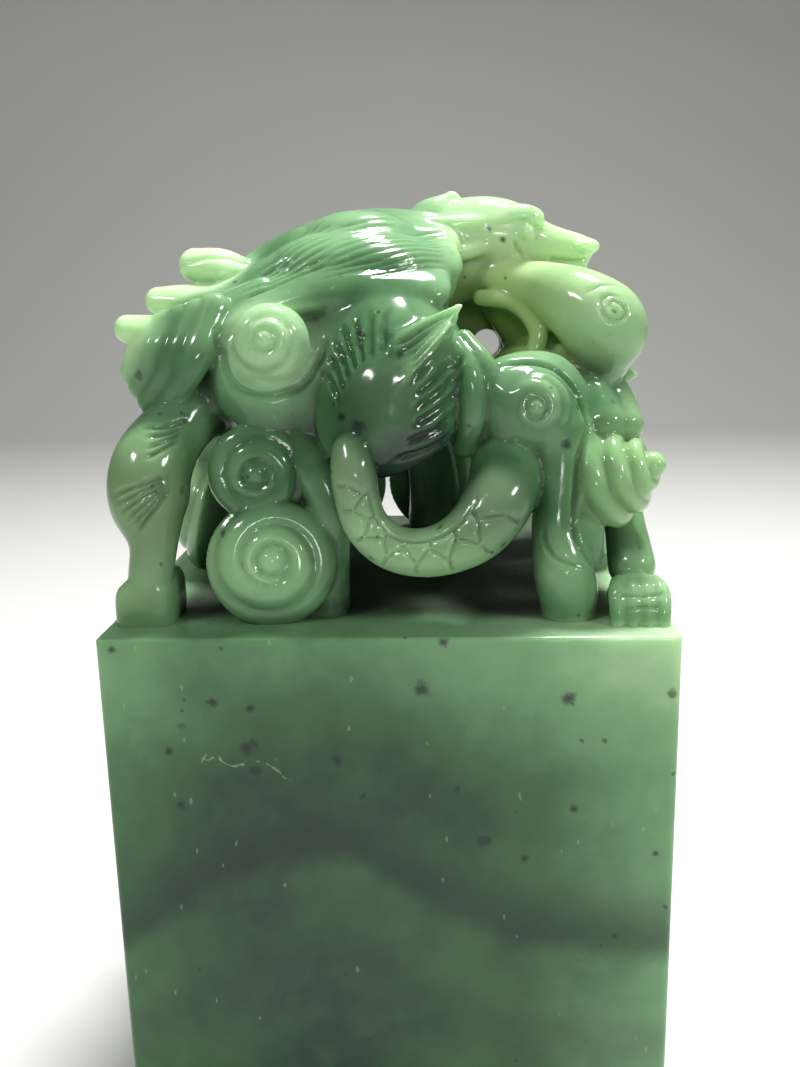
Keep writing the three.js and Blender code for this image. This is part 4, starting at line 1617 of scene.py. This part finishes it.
@dataclass(frozen=True)
class Nephrite:
    """Polished spinach-green nephrite: clouded, with a painted glow where the stone is thin and painted shade in its
    hollows and on the top face under the dragon, with a dark wavy band across the block, dark specks, pale flecks and
    one short broken vein.

    clouds, mottles, grains, streaks and rags are the features a metre of the five noises. band and vein are stations
    of x and height on the block, tones of x and paleness. A speck is x, height and radius on the block's front, and a
    mark x, y, height and radius on the dragon, all in millimetres.
    """

    name: str = "nephrite"
    deep: Colour = (26, 46, 36)
    mid: Colour = (62, 100, 64)
    light: Colour = (116, 156, 114)
    # Painted glow colour: the palest tones and the thin tips stand in for light that passes through thin stone.
    thin: Colour = (184, 216, 168)
    # Yellower tint, partly the stone's own and partly a painted glow where light would pass through.
    warm: Colour = (142, 164, 66)
    # Painted shade colour, mixed into the dragon's hollows and onto the top face under the dragon.
    hollow: Colour = (24, 34, 14)
    dark: Colour = (18, 34, 28)
    speck: Colour = (24, 30, 34)
    fleck: Colour = (150, 172, 128)
    roughness: float = 0.13
    ior: float = 1.61
    gloss: float = 0.27
    scatter: float = 0.7
    scatter_colour: Triple = (0.7, 1.0, 0.62)
    scatter_reach: float = 0.003
    clouds: float = 55
    mottles: float = 330
    grains: float = 2400
    streaks: float = 2600
    rags: float = 1500
    band: tuple[tuple[float, float], ...] = (
        (-25, 29.8),
        (-19, 36.5),
        (-13.6, 38.9),
        (-8, 40.1),
        (-3.5, 40.6),
        (-1, 38.8),
        (2, 36.7),
        (5.4, 34.8),
        (8.8, 32.9),
        (14, 32.1),
        (19.2, 32),
        (25, 31),
    )
    tones: tuple[tuple[float, float], ...] = (
        (-25, 0.46),
        (-18, 0.3),
        (-10, 0.2),
        (0, 0.2),
        (12, 0.36),
        (21, 0.8),
        (25, 0.84),
    )
    vein: tuple[tuple[float, float], ...] = (
        (-17.2, 48.7),
        (-15, 49.1),
        (-13.4, 48.4),
        (-12, 48.8),
        (-10.7, 48.7),
        (-9.4, 47.6),
        (-8.3, 46),
    )
    specks: tuple[tuple[float, float, float], ...] = (
        (-23.5, 59.1, 0.4),
        (-15.1, 54.3, 0.5),
        (-11.8, 53.7, 0.42),
        (-12.1, 50.1, 0.9),
        (-19.2, 49.7, 0.42),
        (-18.5, 44.6, 0.5),
        (-4.4, 48.8, 0.6),
        (-2.3, 45.5, 0.34),
        (3, 55.4, 0.85),
        (5, 59.6, 0.44),
        (6, 46.1, 0.34),
        (15.7, 54.5, 0.66),
        (16.2, 44.3, 0.46),
        (23.3, 40, 0.3),
        (11.9, 39.4, 0.42),
        (20, 31.8, 0.34),
    )
    marks: tuple[tuple[float, float, float, float], ...] = (
        (-2, -21.6, 17.5, 0.75),
        (-3.5, -20.8, 18.3, 0.42),
        (0.5, -19.8, 24.9, 0.7),
        (1.6, -20, 23.4, 0.45),
        (-17.6, -17, 17.9, 0.5),
        (15.7, -18.6, 15.4, 0.5),
        (-14.4, -19.6, 8.1, 0.42),
        (9.6, -4.6, 34.2, 0.36),
        (11, -4.6, 33.2, 0.34),
        (-3.6, -13.6, 29.6, 0.6),
    )
    # Partly the stone's own tone and partly painted light and shade: paler on the head, snout, tips and the hollow
    # under the shoulder, darker low on the tuft, tail and calf.
    patches: tuple[ToneAndLightPatch, ...] = (
        ToneAndLightPatch((0.4, -21, 18.5), 8, -0.36),
        ToneAndLightPatch((9, -2, 35), 8, 0.75),
        ToneAndLightPatch((18, -2, 32), 5, 1.7),
        ToneAndLightPatch((-17.5, -8, 31), 5, 1.05),
        ToneAndLightPatch((-21.5, -10, 28.5), 4, 0.9, 0.15),
        ToneAndLightPatch((-23, -14.5, 25.5), 4, 0.9, 0.15),
        ToneAndLightPatch((-3, -7, 35), 7, 0.2),
        ToneAndLightPatch((-10, -17, 24), 5.5, 0.75),
        ToneAndLightPatch((20, -8, 26), 7.5, 0.62, 0.2),
        ToneAndLightPatch((12, -12, 21), 6, 0.2),
        ToneAndLightPatch((21, -16, 12), 6, 0.5, 0.35),
        ToneAndLightPatch((22, -19, 2), 4, 0.45, 0.1),
        ToneAndLightPatch((-11.6, -18, 13), 5.5, -0.1),
        ToneAndLightPatch((-10, -20, 5), 6, 0.4),
        ToneAndLightPatch((2, -22, 6.5), 5, -0.1),
        ToneAndLightPatch((9, -21, 11), 5, -0.5),
        ToneAndLightPatch((3, -20, 14.5), 4, -0.4),
        ToneAndLightPatch((-2, -22, 12.5), 3.5, -0.3),
        ToneAndLightPatch((15, -18, 11), 4, -0.1),
        ToneAndLightPatch((-21, -19, 11), 6, -0.5, 0.15),
        ToneAndLightPatch((-22, -19, 2), 4, 0.3, 0.2),
        ToneAndLightPatch((11, -1, 24), 11, 0.8, 1.0),
    )

    def material(self) -> bpy.types.Material:
        """The material, on Object coordinates in metres and on the shelter attribute of the piece.

        Returns:
            The material.
        """
        material = bpy.data.materials.new(self.name)
        material.use_nodes = True
        material.node_tree.nodes.clear()
        t = Tree(material.node_tree)
        at = self.site(t)
        base, sunk = self.shaded(t, at)
        base = self.spotted(t, at, self.banded(t, at, base))
        rough, bump = self.polished(t, at, sunk)
        shader = t.add("ShaderNodeBsdfPrincipled")
        shader.inputs["IOR"].default_value = self.ior
        shader.inputs["Subsurface Weight"].default_value = self.scatter
        shader.inputs["Subsurface Radius"].default_value = self.scatter_colour
        shader.inputs["Subsurface Scale"].default_value = self.scatter_reach
        shader.inputs["Specular IOR Level"].default_value = self.gloss
        t.tree.links.new(base, shader.inputs["Base Color"])
        t.tree.links.new(rough, shader.inputs["Roughness"])
        t.tree.links.new(bump, shader.inputs["Normal"])
        out = t.add("ShaderNodeOutputMaterial")
        t.tree.links.new(shader.outputs[0], out.inputs[0])
        return material

    def site(self, t: Tree) -> Site:
        """The sockets that the effects share.

        Args:
            t: the material's tree.

        Returns:
            The sockets.
        """
        place = t.add("ShaderNodeTexCoord").outputs["Object"]
        x, y, z = t.add("ShaderNodeSeparateXYZ", _0=place).outputs
        carved = t.ramp(z, TOP - 0.0002, TOP + 0.0012)
        return Site(
            place=place,
            x=x,
            y=y,
            z=z,
            width=t.math("ADD", t.math("MULTIPLY", x, 1 / (BLOCK_WIDTH * MM)), 0.5),
            carved=carved,
            plain=t.math("SUBTRACT", 1.0, carved),
            around=t.add("ShaderNodeAttribute", {"attribute_name": "shelter"}).outputs["Fac"],
            cloud=t.math("SUBTRACT", self.noise(t, place, self.clouds, detail=3, rough=0.5, warp=0.4), 0.5),
            mottle=t.math("SUBTRACT", self.noise(t, place, self.mottles, detail=4, rough=0.6, warp=0.3), 0.5),
        )

    def shaded(self, t: Tree, at: Site) -> tuple[Socket, Socket]:
        """The stone's colour with painted light and shade: a painted glow where it is thin and painted shade where it
        is sunk.

        The block pales towards its two sides and its top. The dragon has paler and darker places, partly its own tone
        and partly painted light and shade. The top face gets painted shadow under the dragon.

        Args:
            t: the material's tree.
            at: the shared sockets.

        Returns:
            The colour, and how much painted shade the stone gets, from 0 to 1.
        """
        near_top = t.ramp(at.z, TOP - 0.016, TOP + 0.0005)
        tones = self.profile(t, at.width, self.tones, 1.0)
        block_tone = t.weighted(tones, (at.cloud, 0.7), (near_top, 0.5), (at.mottle, 0.25))
        # The patches paint part of the dragon's light and shade into its tone.
        lift, warmth_and_glow = self.lifted(t, at.place)
        dragon_tone = t.weighted(t.math("ADD", at.cloud, 0.64), (at.mottle, 0.3), (lift, 1.0))
        tone = t.weighted(0.0, (block_tone, at.plain), (dragon_tone, at.carved))
        base = t.mix(t.ramp(tone, 0.0, 0.5), srgb(*self.deep), srgb(*self.mid))
        base = t.mix(t.ramp(tone, 0.4, 1.0), base, srgb(*self.light))
        base = t.mix(t.ramp(tone, 0.9, 1.5), base, srgb(*self.thin))
        # Painted glow: thin tips of the dragon, found from the shelter attribute, turn towards the thin colour.
        painted_thin_glow = t.math("MULTIPLY", t.ramp(at.around, 0.42, 0.14), at.carved)
        base = t.mix(t.math("MULTIPLY", painted_thin_glow, 0.4), base, srgb(*self.thin))
        # Yellower where the patches say: partly the stone's tint, partly a painted glow.
        base = t.mix(t.math("MULTIPLY", warmth_and_glow, 0.6), base, srgb(*self.warm))

        # Painted shadow: the block's top face under and behind the dragon is darkened.
        under = t.math("MULTIPLY", t.ramp(at.y, -0.0212, -0.0165), t.ramp(at.z, TOP + 0.0022, TOP + 0.0004))
        under = t.math("MULTIPLY", under, t.ramp(t.math("ABSOLUTE", at.x), 0.0225, 0.0185))
        under = t.math("MULTIPLY", under, t.ramp(at.z, TOP - 0.0004, TOP - 0.0001))
        # Painted shade in the dragon's sheltered hollows, taken back where the warm patches paint a glow.
        shade_kept = t.math("SUBTRACT", 1.0, t.ramp(warmth_and_glow, 0.3, 1.0))
        painted_hollow_shade = t.math("MULTIPLY", t.math("MULTIPLY", t.ramp(at.around, 0.5, 0.72), at.carved), shade_kept)
        sunk = t.math("MAXIMUM", painted_hollow_shade, under)
        # The hollow colour is mixed in as painted shade.
        return t.mix(t.math("MULTIPLY", sunk, 0.88), base, srgb(*self.hollow)), sunk

    def banded(self, t: Tree, at: Site, base: Socket) -> Socket:
        """The block's dark bands: one that is darkest at its lower edge and fades upwards, and a faint one below it.

        Args:
            t: the material's tree.
            at: the shared sockets.
            base: the colour so far.

        Returns:
            The colour with the bands.
        """
        height = self.profile(t, at.width, self.band, 1 / BLOCK_HEIGHT)
        middle = t.weighted(0.0, (height, TOP), (at.cloud, 0.004), (at.mottle, 0.0012))
        above = t.math("SUBTRACT", at.z, middle)
        line = t.math("MULTIPLY", t.ramp(above, 0.007, 0.0), t.ramp(above, -0.003, 0.0004))
        low_line = t.math("MULTIPLY", t.ramp(above, -0.0066, -0.0106), t.ramp(above, -0.018, -0.0112))
        dark = t.weighted(0.0, (line, 0.6), (low_line, 0.28))
        return t.mix(t.math("MULTIPLY", dark, at.plain), base, srgb(*self.dark))

    def polished(self, t: Tree, at: Site, sunk: Socket) -> tuple[Socket, Socket]:
        """The polish: fine upright streaks on the block, and dull sparkling ground on its top face.

        Args:
            t: the material's tree.
            at: the shared sockets.
            sunk: how much painted shade the stone gets, where it is also duller.

        Returns:
            The roughness and the bumped normal.
        """
        facing = t.add("ShaderNodeSeparateXYZ", _0=t.add("ShaderNodeNewGeometry").outputs["Normal"]).outputs[2]
        ground = t.math("MULTIPLY", t.ramp(facing, 0.96, 0.99), t.ramp(at.z, TOP + 0.0004, TOP + 0.0001))
        grain = self.noise(t, at.place, self.grains, detail=3, rough=0.6)
        upright = t.add("ShaderNodeMapping", Vector=at.place, Scale=(1.0, 1.0, 0.06)).outputs[0]
        streaks = t.math("MULTIPLY", self.noise(t, upright, self.streaks, detail=2, rough=0.5), at.plain)
        rough = t.weighted(self.roughness, (at.mottle, 0.1), (streaks, 0.16), (ground, 0.16), (sunk, 0.24))
        sparkle = t.math("MULTIPLY", grain, ground)
        height = t.weighted(0.0, (at.mottle, 0.5), (streaks, 0.06), (sparkle, 1.6))
        return rough, t.add("ShaderNodeBump", Strength=0.4, Distance=0.0001, Height=height).outputs[0]

    def lifted(self, t: Tree, place: Socket) -> tuple[Socket, Socket]:
        """What the patches do here.

        Args:
            t: the material's tree.
            place: the place in metres.

        Returns:
            How much paler and how much yellower they make the stone, partly its own tone and partly painted light and
            shade.
        """
        lift, warmth_and_glow = 0.0, 0.0
        for patch in self.patches:
            px, py, height = patch.place
            away = t.distance(place, (px, py, height + BLOCK_HEIGHT))
            near = t.ramp(away, patch.reach * 1.25 * MM, patch.reach * 0.35 * MM)
            lift = t.weighted(lift, (near, patch.lift))
            if patch.warmth_and_glow:
                warmth_and_glow = t.weighted(warmth_and_glow, (near, patch.warmth_and_glow))
        return lift, warmth_and_glow

    def spotted(self, t: Tree, at: Site, base: Socket) -> Socket:
        """The dark specks, the pale flecks and the broken vein.

        Args:
            t: the material's tree.
            at: the shared sockets.
            base: the colour so far.

        Returns:
            The colour with all of them.
        """
        ragged = self.noise(t, at.place, self.rags, detail=2, rough=0.6, warp=0.5)
        flat = t.add("ShaderNodeMapping", Vector=at.place, Scale=(1.0, 0.4, 1.0)).outputs[0]
        specks = self.nearest(t, at.place, [((x, -BLOCK_DEPTH / 2, z), radius) for x, z, radius in self.specks])
        marks = self.nearest(t, flat, [((x, 0.4 * y, z + BLOCK_HEIGHT), radius) for x, y, z, radius in self.marks])
        frayed = t.math("MULTIPLY", t.math("SUBTRACT", ragged, 0.5), 1.7)
        black = t.ramp(t.math("ADD", t.math("MINIMUM", specks, marks), frayed), 1.35, 0.05)
        coarse = t.math("MULTIPLY", self.scattered(t, at.place, scale=190, reach=0.13, rare=0.72), 0.75)
        fine = t.math("MULTIPLY", self.scattered(t, at.place, scale=520, reach=0.14, rare=0.82), 0.7)
        black = t.math("MAXIMUM", t.math("MAXIMUM", black, coarse), fine)
        base = t.mix(t.math("MULTIPLY", black, 0.84), base, srgb(*self.speck))

        drawn = t.add("ShaderNodeMapping", Vector=at.place, Scale=(1.0, 1.0, 0.4)).outputs[0]
        flecks = t.math("MULTIPLY", self.scattered(t, drawn, scale=760, reach=0.12, rare=0.6), 0.4)
        course = self.profile(t, at.width, self.vein, 1 / BLOCK_HEIGHT)
        course = t.weighted(0.0, (course, TOP), (at.mottle, 0.003))
        thread = t.ramp(t.math("ABSOLUTE", t.math("SUBTRACT", at.z, course)), 0.00016, 0.00004)
        ends = t.math("MULTIPLY", t.ramp(at.x, -0.0172, -0.0160), t.ramp(at.x, -0.0083, -0.0092))
        ends = t.math("MULTIPLY", ends, t.ramp(at.y, -0.020, -0.023))
        broken = t.math("MULTIPLY", ends, t.ramp(ragged, 0.44, 0.56))
        thread = t.math("MULTIPLY", t.math("MULTIPLY", thread, broken), 0.6)
        return t.mix(t.math("MAXIMUM", flecks, thread), base, srgb(*self.fleck))

    @staticmethod
    def profile(t: Tree, across: Socket, stations: Sequence[tuple[float, float]], unit_size: float) -> Socket:
        """A smooth curve over the block's width.

        Args:
            t: the material's tree.
            across: from 0 to 1 over the width.
            stations: x in millimetres and a value.
            unit_size: what the values are multiplied by.

        Returns:
            The socket that gives the curve's value.
        """
        node = t.add("ShaderNodeValToRGB", _0=across)
        ramp = node.color_ramp
        ramp.interpolation = "B_SPLINE"
        while len(ramp.elements) > 1:
            ramp.elements.remove(ramp.elements[-1])
        for k, (x, value) in enumerate(stations):
            share = min(max(x / BLOCK_WIDTH + 0.5, 0.0), 1.0)
            stop = ramp.elements[0] if k == 0 else ramp.elements.new(share)
            stop.position = share
            stop.color = (value * unit_size,) * 3 + (1.0,)
        return node.outputs[0]

    @staticmethod
    def noise(t: Tree, place: Socket, scale: float, detail: float, rough: float, warp: float = 0.0) -> Socket:
        """Cloudy noise.

        Args:
            t: the material's tree.
            place: the place in metres.
            scale: features a metre.
            detail: how many finer layers it has.
            rough: how strong those are.
            warp: how much it is bent by itself.

        Returns:
            The socket that gives it, from 0 to 1.
        """
        settings = {"Scale": scale, "Detail": detail, "Roughness": rough, "Distortion": warp}
        return t.add("ShaderNodeTexNoise", Vector=place, **settings).outputs[0]

    @staticmethod
    def scattered(t: Tree, place: Socket, scale: float, reach: float, rare: float) -> Socket:
        """Small irregular spots, at most one to a cell.

        Args:
            t: the material's tree.
            place: the place in metres.
            scale: cells a metre.
            reach: the size of a spot in cells.
            rare: the share of the cells that are left empty.

        Returns:
            The socket that gives 1 in a spot and 0 outside.
        """
        wobble = t.add("ShaderNodeTexNoise", Vector=place, Scale=scale * 3, Detail=2.0)
        bent = t.add("ShaderNodeVectorMath", {"operation": "MULTIPLY_ADD"}, _0=wobble.outputs[1])
        bent.inputs[1].default_value = (0.3 / scale,) * 3
        t.tree.links.new(place, bent.inputs[2])
        cell = t.add("ShaderNodeTexVoronoi", Vector=bent.outputs[0], Scale=scale)
        chance = t.add("ShaderNodeSeparateColor", _0=cell.outputs["Color"]).outputs[0]
        near = t.ramp(cell.outputs["Distance"], reach, reach * 0.5)
        return t.math("MULTIPLY", near, t.ramp(chance, rare, rare + 0.02))

    @staticmethod
    def nearest(t: Tree, place: Socket, spots: Sequence[tuple[Triple, float]]) -> Socket:
        """How far away the nearest of some spots is, as a multiple of its radius.

        Args:
            t: the material's tree.
            place: the place in metres.
            spots: the middle and the radius of each in millimetres.

        Returns:
            The socket that gives it, 1 at the edge of a spot.
        """
        shares = [t.math("MULTIPLY", t.distance(place, centre), 1 / (radius * MM)) for centre, radius in spots]
        least = shares[0]
        for share in shares[1:]:
            least = t.math("MINIMUM", least, share)
        return least


@dataclass(frozen=True)
class Paper:
    """The plain pale floor and backdrop."""

    name: str = "pale_floor"
    colour: Colour = (206, 206, 203)

    def material(self) -> bpy.types.Material:
        """A matt material with the faintest mottling.

        Returns:
            The material.
        """
        material = bpy.data.materials.new(self.name)
        material.use_nodes = True
        t = Tree(material.node_tree)
        shader = material.node_tree.nodes["Principled BSDF"]
        place = t.add("ShaderNodeTexCoord").outputs["Object"]
        tone = t.add("ShaderNodeTexNoise", Vector=place, Scale=6.0, Detail=3.0).outputs[0]
        darker = tuple(0.94 * c for c in srgb(*self.colour)[:3]) + (1.0,)
        t.tree.links.new(t.mix(tone, srgb(*self.colour), darker), shader.inputs["Base Color"])
        shader.inputs["Roughness"].default_value = 0.9
        return material


@dataclass
class JadeSeal:
    """The seal as one stone: the dragon's forms fused into one skin, engraved and joined to the block.

    The soft masses are fused on cubes of side mass_voxel and relaxed softening times, and the crisp forms on cubes of
    side voxel, relaxed detail_softening times. The skin is then thinned to about that many triangles. The hole values
    give a rod's middle, direction, half length and radius.
    """

    mass_voxel: float = 0.32
    softening: int = 10
    detail_softening: int = 2
    voxel: float = 0.18
    triangles: int = 180_000
    quick_mass_voxel: float = 0.5
    quick_softening: int = 6
    quick_voxel: float = 0.36
    quick_triangles: int = 90_000
    crease: float = 42.0
    hole_middle: Triple = (9.9, 12.0, 22.6)
    hole_ahead: Triple = (0.03, 1.0, -0.05)
    hole_reach: float = 20.0
    hole_radius: float = 1.5
    finish: Nephrite = field(default_factory=Nephrite)
    forms: tuple[Form, ...] = field(
        default_factory=lambda: (
            Body(),
            Haunches(),
            HindLegs(),
            Forelegs(),
            Tail(),
            Tuft(),
            Mane(),
            Fan(),
            Clouds(),
            PointedScroll(),
            Shoulder(),
            Head(),
        )
    )

    def drill(self) -> Shell:
        """The drill hole that runs from the hollow under the right shoulder to the front, sloping down.

        Returns:
            The rod that is taken out.
        """
        ahead = unit(np.array(self.hole_ahead))
        reaches = (-self.hole_reach, 0.0, self.hole_reach)
        return limb([(*(self.hole_middle + ahead * reach), self.hole_radius) for reach in reaches], up=(0, 0, 1))

    def dragon(self) -> Shell:
        """The dragon: soft masses first, then the crisp forms over them, then the engraved lines.

        Returns:
            Its skin, in the dragon's own drawing.
        """
        sizes = (self.mass_voxel, self.softening, self.voxel, self.triangles)
        mass_voxel, softening, voxel, triangles = sizes
        masses = fused([mass for form in self.forms for mass in form.masses()], mass_voxel, softening)
        log.info("masses: %d triangles", len(masses.faces))
        details = [detail for form in self.forms for detail in form.details()]
        skin = fused([masses, *details], voxel, self.detail_softening)
        log.info("skin: %d triangles", len(skin.faces))
        return thinned(engraved(skin, [line for form in self.forms for line in form.lines()]), triangles)

    def build(self) -> bpy.types.Object:
        """The finished piece, in metres, with its shelter attribute.

        Returns:
            The object.
        """
        dragon = combined(self.dragon(), self.drill(), Cut.DIFFERENCE)
        dragon = Shell(dragon.points + (0, 0, BLOCK_HEIGHT), dragon.faces)
        log.info("dragon: %d triangles", len(dragon.faces))
        stone = combined(SealBlock().solid(), dragon, Cut.UNION)
        log.info("seal: %d triangles", len(stone.faces))
        piece = mesh_object("seal_stone", Shell(stone.points * MM, stone.faces))
        self.mark(piece, stone, dragon)
        piece.data.polygons.foreach_set("use_smooth", np.ones(len(stone.faces), bool))
        piece.data.set_sharp_from_angle(angle=math.radians(self.crease))
        return piece

    @staticmethod
    def mark(piece: bpy.types.Object, stone: Shell, dragon: Shell) -> None:
        """Stores the shelter of each corner: the dragon's own where the corner is one of its, and else 0.5.

        Args:
            piece: the object of the stone.
            stone: its surface in millimetres.
            dragon: the dragon before it was joined to the block.
        """
        dragon_keys, stone_keys = corner_keys(dragon.points), corner_keys(stone.points)
        order = np.argsort(dragon_keys)
        found = np.searchsorted(dragon_keys[order], stone_keys)
        found = order[np.clip(found, 0, len(order) - 1)]
        value = np.where(dragon_keys[found] == stone_keys, shelter(dragon)[found], 0.5)
        stored = piece.data.attributes.new("shelter", "FLOAT", "POINT").data
        stored.foreach_set("value", value.astype(np.float32))

    def dress(self, piece: bpy.types.Object) -> None:
        """Gives the piece its stone and ties it to the solid that it stands for.

        Args:
            piece: the object of the stone.
        """
        piece.data.materials.append(self.finish.material())
        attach(piece, "root")
        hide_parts("jade_seal")


@dataclass(frozen=True)
class Softbox:
    """An oblong lamp: its place and size in metres, its power in watts, and the place that it is aimed at."""

    name: str
    place: Triple
    size: tuple[float, float]
    power: float
    aim: Triple = (0, 0, 0.06)

    def light(self) -> bpy.types.Object:
        """The lamp in the scene.

        Returns:
            Its object.
        """
        data = bpy.data.lights.new(self.name, "AREA")
        data.shape = "RECTANGLE"
        data.size, data.size_y = self.size
        data.energy = self.power
        lamp = bpy.data.objects.new(self.name, data)
        lamp.location = self.place
        lamp.rotation_euler = (Vector(self.aim) - Vector(self.place)).to_track_quat("-Z", "Y").to_euler()
        bpy.context.scene.collection.objects.link(lamp)
        return lamp


@dataclass
class Studio:
    """Floor, backdrop, lights and the camera at the photograph's place.

    The camera's place is in millimetres, its angles are in degrees, and its focal length is in pixels of a frame that
    is frame_height high. The floor is in metres: its half width, how far back it is flat, the radius of the bend, how
    far it comes forward and how high the wall is. sky is the strength of the even light from all sides.
    """

    camera_place: Triple = (5.65, -109.29, 88.6)
    pitch: float = 13.02
    yaw: float = -2.83
    roll: float = 1.24
    focal: float = 1049.1
    frame_height: int = 1067
    sensor: float = 36.0
    half_width: float = 1.6
    back: float = 0.55
    bend_radius: float = 0.25
    front: float = -1.2
    wall: float = 1.8
    sky: float = 0.16
    softboxes: tuple[Softbox, ...] = (
        Softbox("top_softbox", (0.07, 0.12, 0.5), (0.12, 0.05), 4.3),
        Softbox("left_softbox", (-0.34, -0.3, 0.5), (0.14, 0.05), 1.3),
        Softbox("right_softbox", (0.42, -0.26, 0.34), (0.12, 0.05), 1.1),
        Softbox("front_softbox", (0.1, -0.5, 0.16), (0.1, 0.04), 0.35),
    )

    def backdrop(self) -> bpy.types.Object:
        """The floor that bends up into a wall: a profile of floor, quarter circle and wall carried from left to
        right.

        Returns:
            Its object.
        """
        bend = np.linspace(0, TURN / 4, 24)
        radius, back = self.bend_radius, self.back
        y = np.concatenate([[self.front, 0.0], back + radius * np.sin(bend), [back + radius]])
        z = np.concatenate([[0.0, 0.0], radius * (1 - np.cos(bend)), [self.wall]])
        x = np.linspace(-self.half_width, self.half_width, 5)
        grid = np.stack(np.broadcast_arrays(x[:, None], y[None], z[None]), -1)
        rows, columns = grid.shape[:2]
        i, j = np.meshgrid(np.arange(rows - 1), np.arange(columns - 1), indexing="ij")
        a = i * columns + j
        quads = np.stack([a, a + columns, a + columns + 1, a + 1], -1).reshape(-1, 4)
        mesh = bpy.data.meshes.new("pale_floor")
        mesh.from_pydata(grid.reshape(-1, 3).tolist(), [], quads.tolist())
        mesh.polygons.foreach_set("use_smooth", np.ones(len(quads), bool))
        floor = bpy.data.objects.new("pale_floor", mesh)
        bpy.context.scene.collection.objects.link(floor)
        floor.data.materials.append(Paper().material())
        floor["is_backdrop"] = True
        return floor

    def camera(self) -> bpy.types.Object:
        """The camera, turned by its yaw, pitch and roll, with the photograph's focal length.

        Returns:
            Its object.
        """
        a, b, c = (math.radians(v) for v in (self.pitch, self.yaw, self.roll))
        ahead = np.array([math.sin(b) * math.cos(a), math.cos(b) * math.cos(a), -math.sin(a)])
        right = np.array([math.cos(b), -math.sin(b), 0.0])
        down = np.cross(ahead, right)
        turned_right = math.cos(c) * right + math.sin(c) * down
        turned_down = -math.sin(c) * right + math.cos(c) * down
        data = bpy.data.cameras.new("camera")
        data.sensor_fit = "AUTO"
        data.sensor_width = self.sensor
        data.lens = self.sensor * self.focal / self.frame_height
        data.clip_start = 0.005
        camera = bpy.data.objects.new("camera", data)
        axes = Matrix([turned_right, -turned_down, -ahead]).transposed().to_4x4()
        camera.matrix_world = Matrix.Translation(Vector(self.camera_place) * MM) @ axes
        bpy.context.scene.collection.objects.link(camera)
        bpy.context.scene.camera = camera
        return camera

    def lights(self) -> None:
        """A strong softbox above and behind, three weak ones in front, and a dim even sky."""
        for softbox in self.softboxes:
            softbox.light()
        world = bpy.data.worlds.new("sky")
        world.use_nodes = True
        world.node_tree.nodes["Background"].inputs[0].default_value = (1.0, 1.0, 1.0, 1.0)
        world.node_tree.nodes["Background"].inputs[1].default_value = self.sky
        bpy.context.scene.world = world


def main() -> None:
    """Builds the seal and the studio round it."""
    logging.basicConfig(level=logging.INFO, format="%(message)s")
    bpy.context.scene.view_settings.view_transform = "Standard"
    seal = JadeSeal()
    piece = seal.build()
    seal.dress(piece)
    log.info("%s: %d triangles", piece.name, len(piece.data.polygons))
    studio = Studio()
    studio.backdrop()
    studio.camera()
    studio.lights()
    boxes = {"cad": CAD_BOX, "scene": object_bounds()}
    {name: [list(corner) for corner in box] for name, box in boxes.items()}


if __name__ == "__main__":
    main()
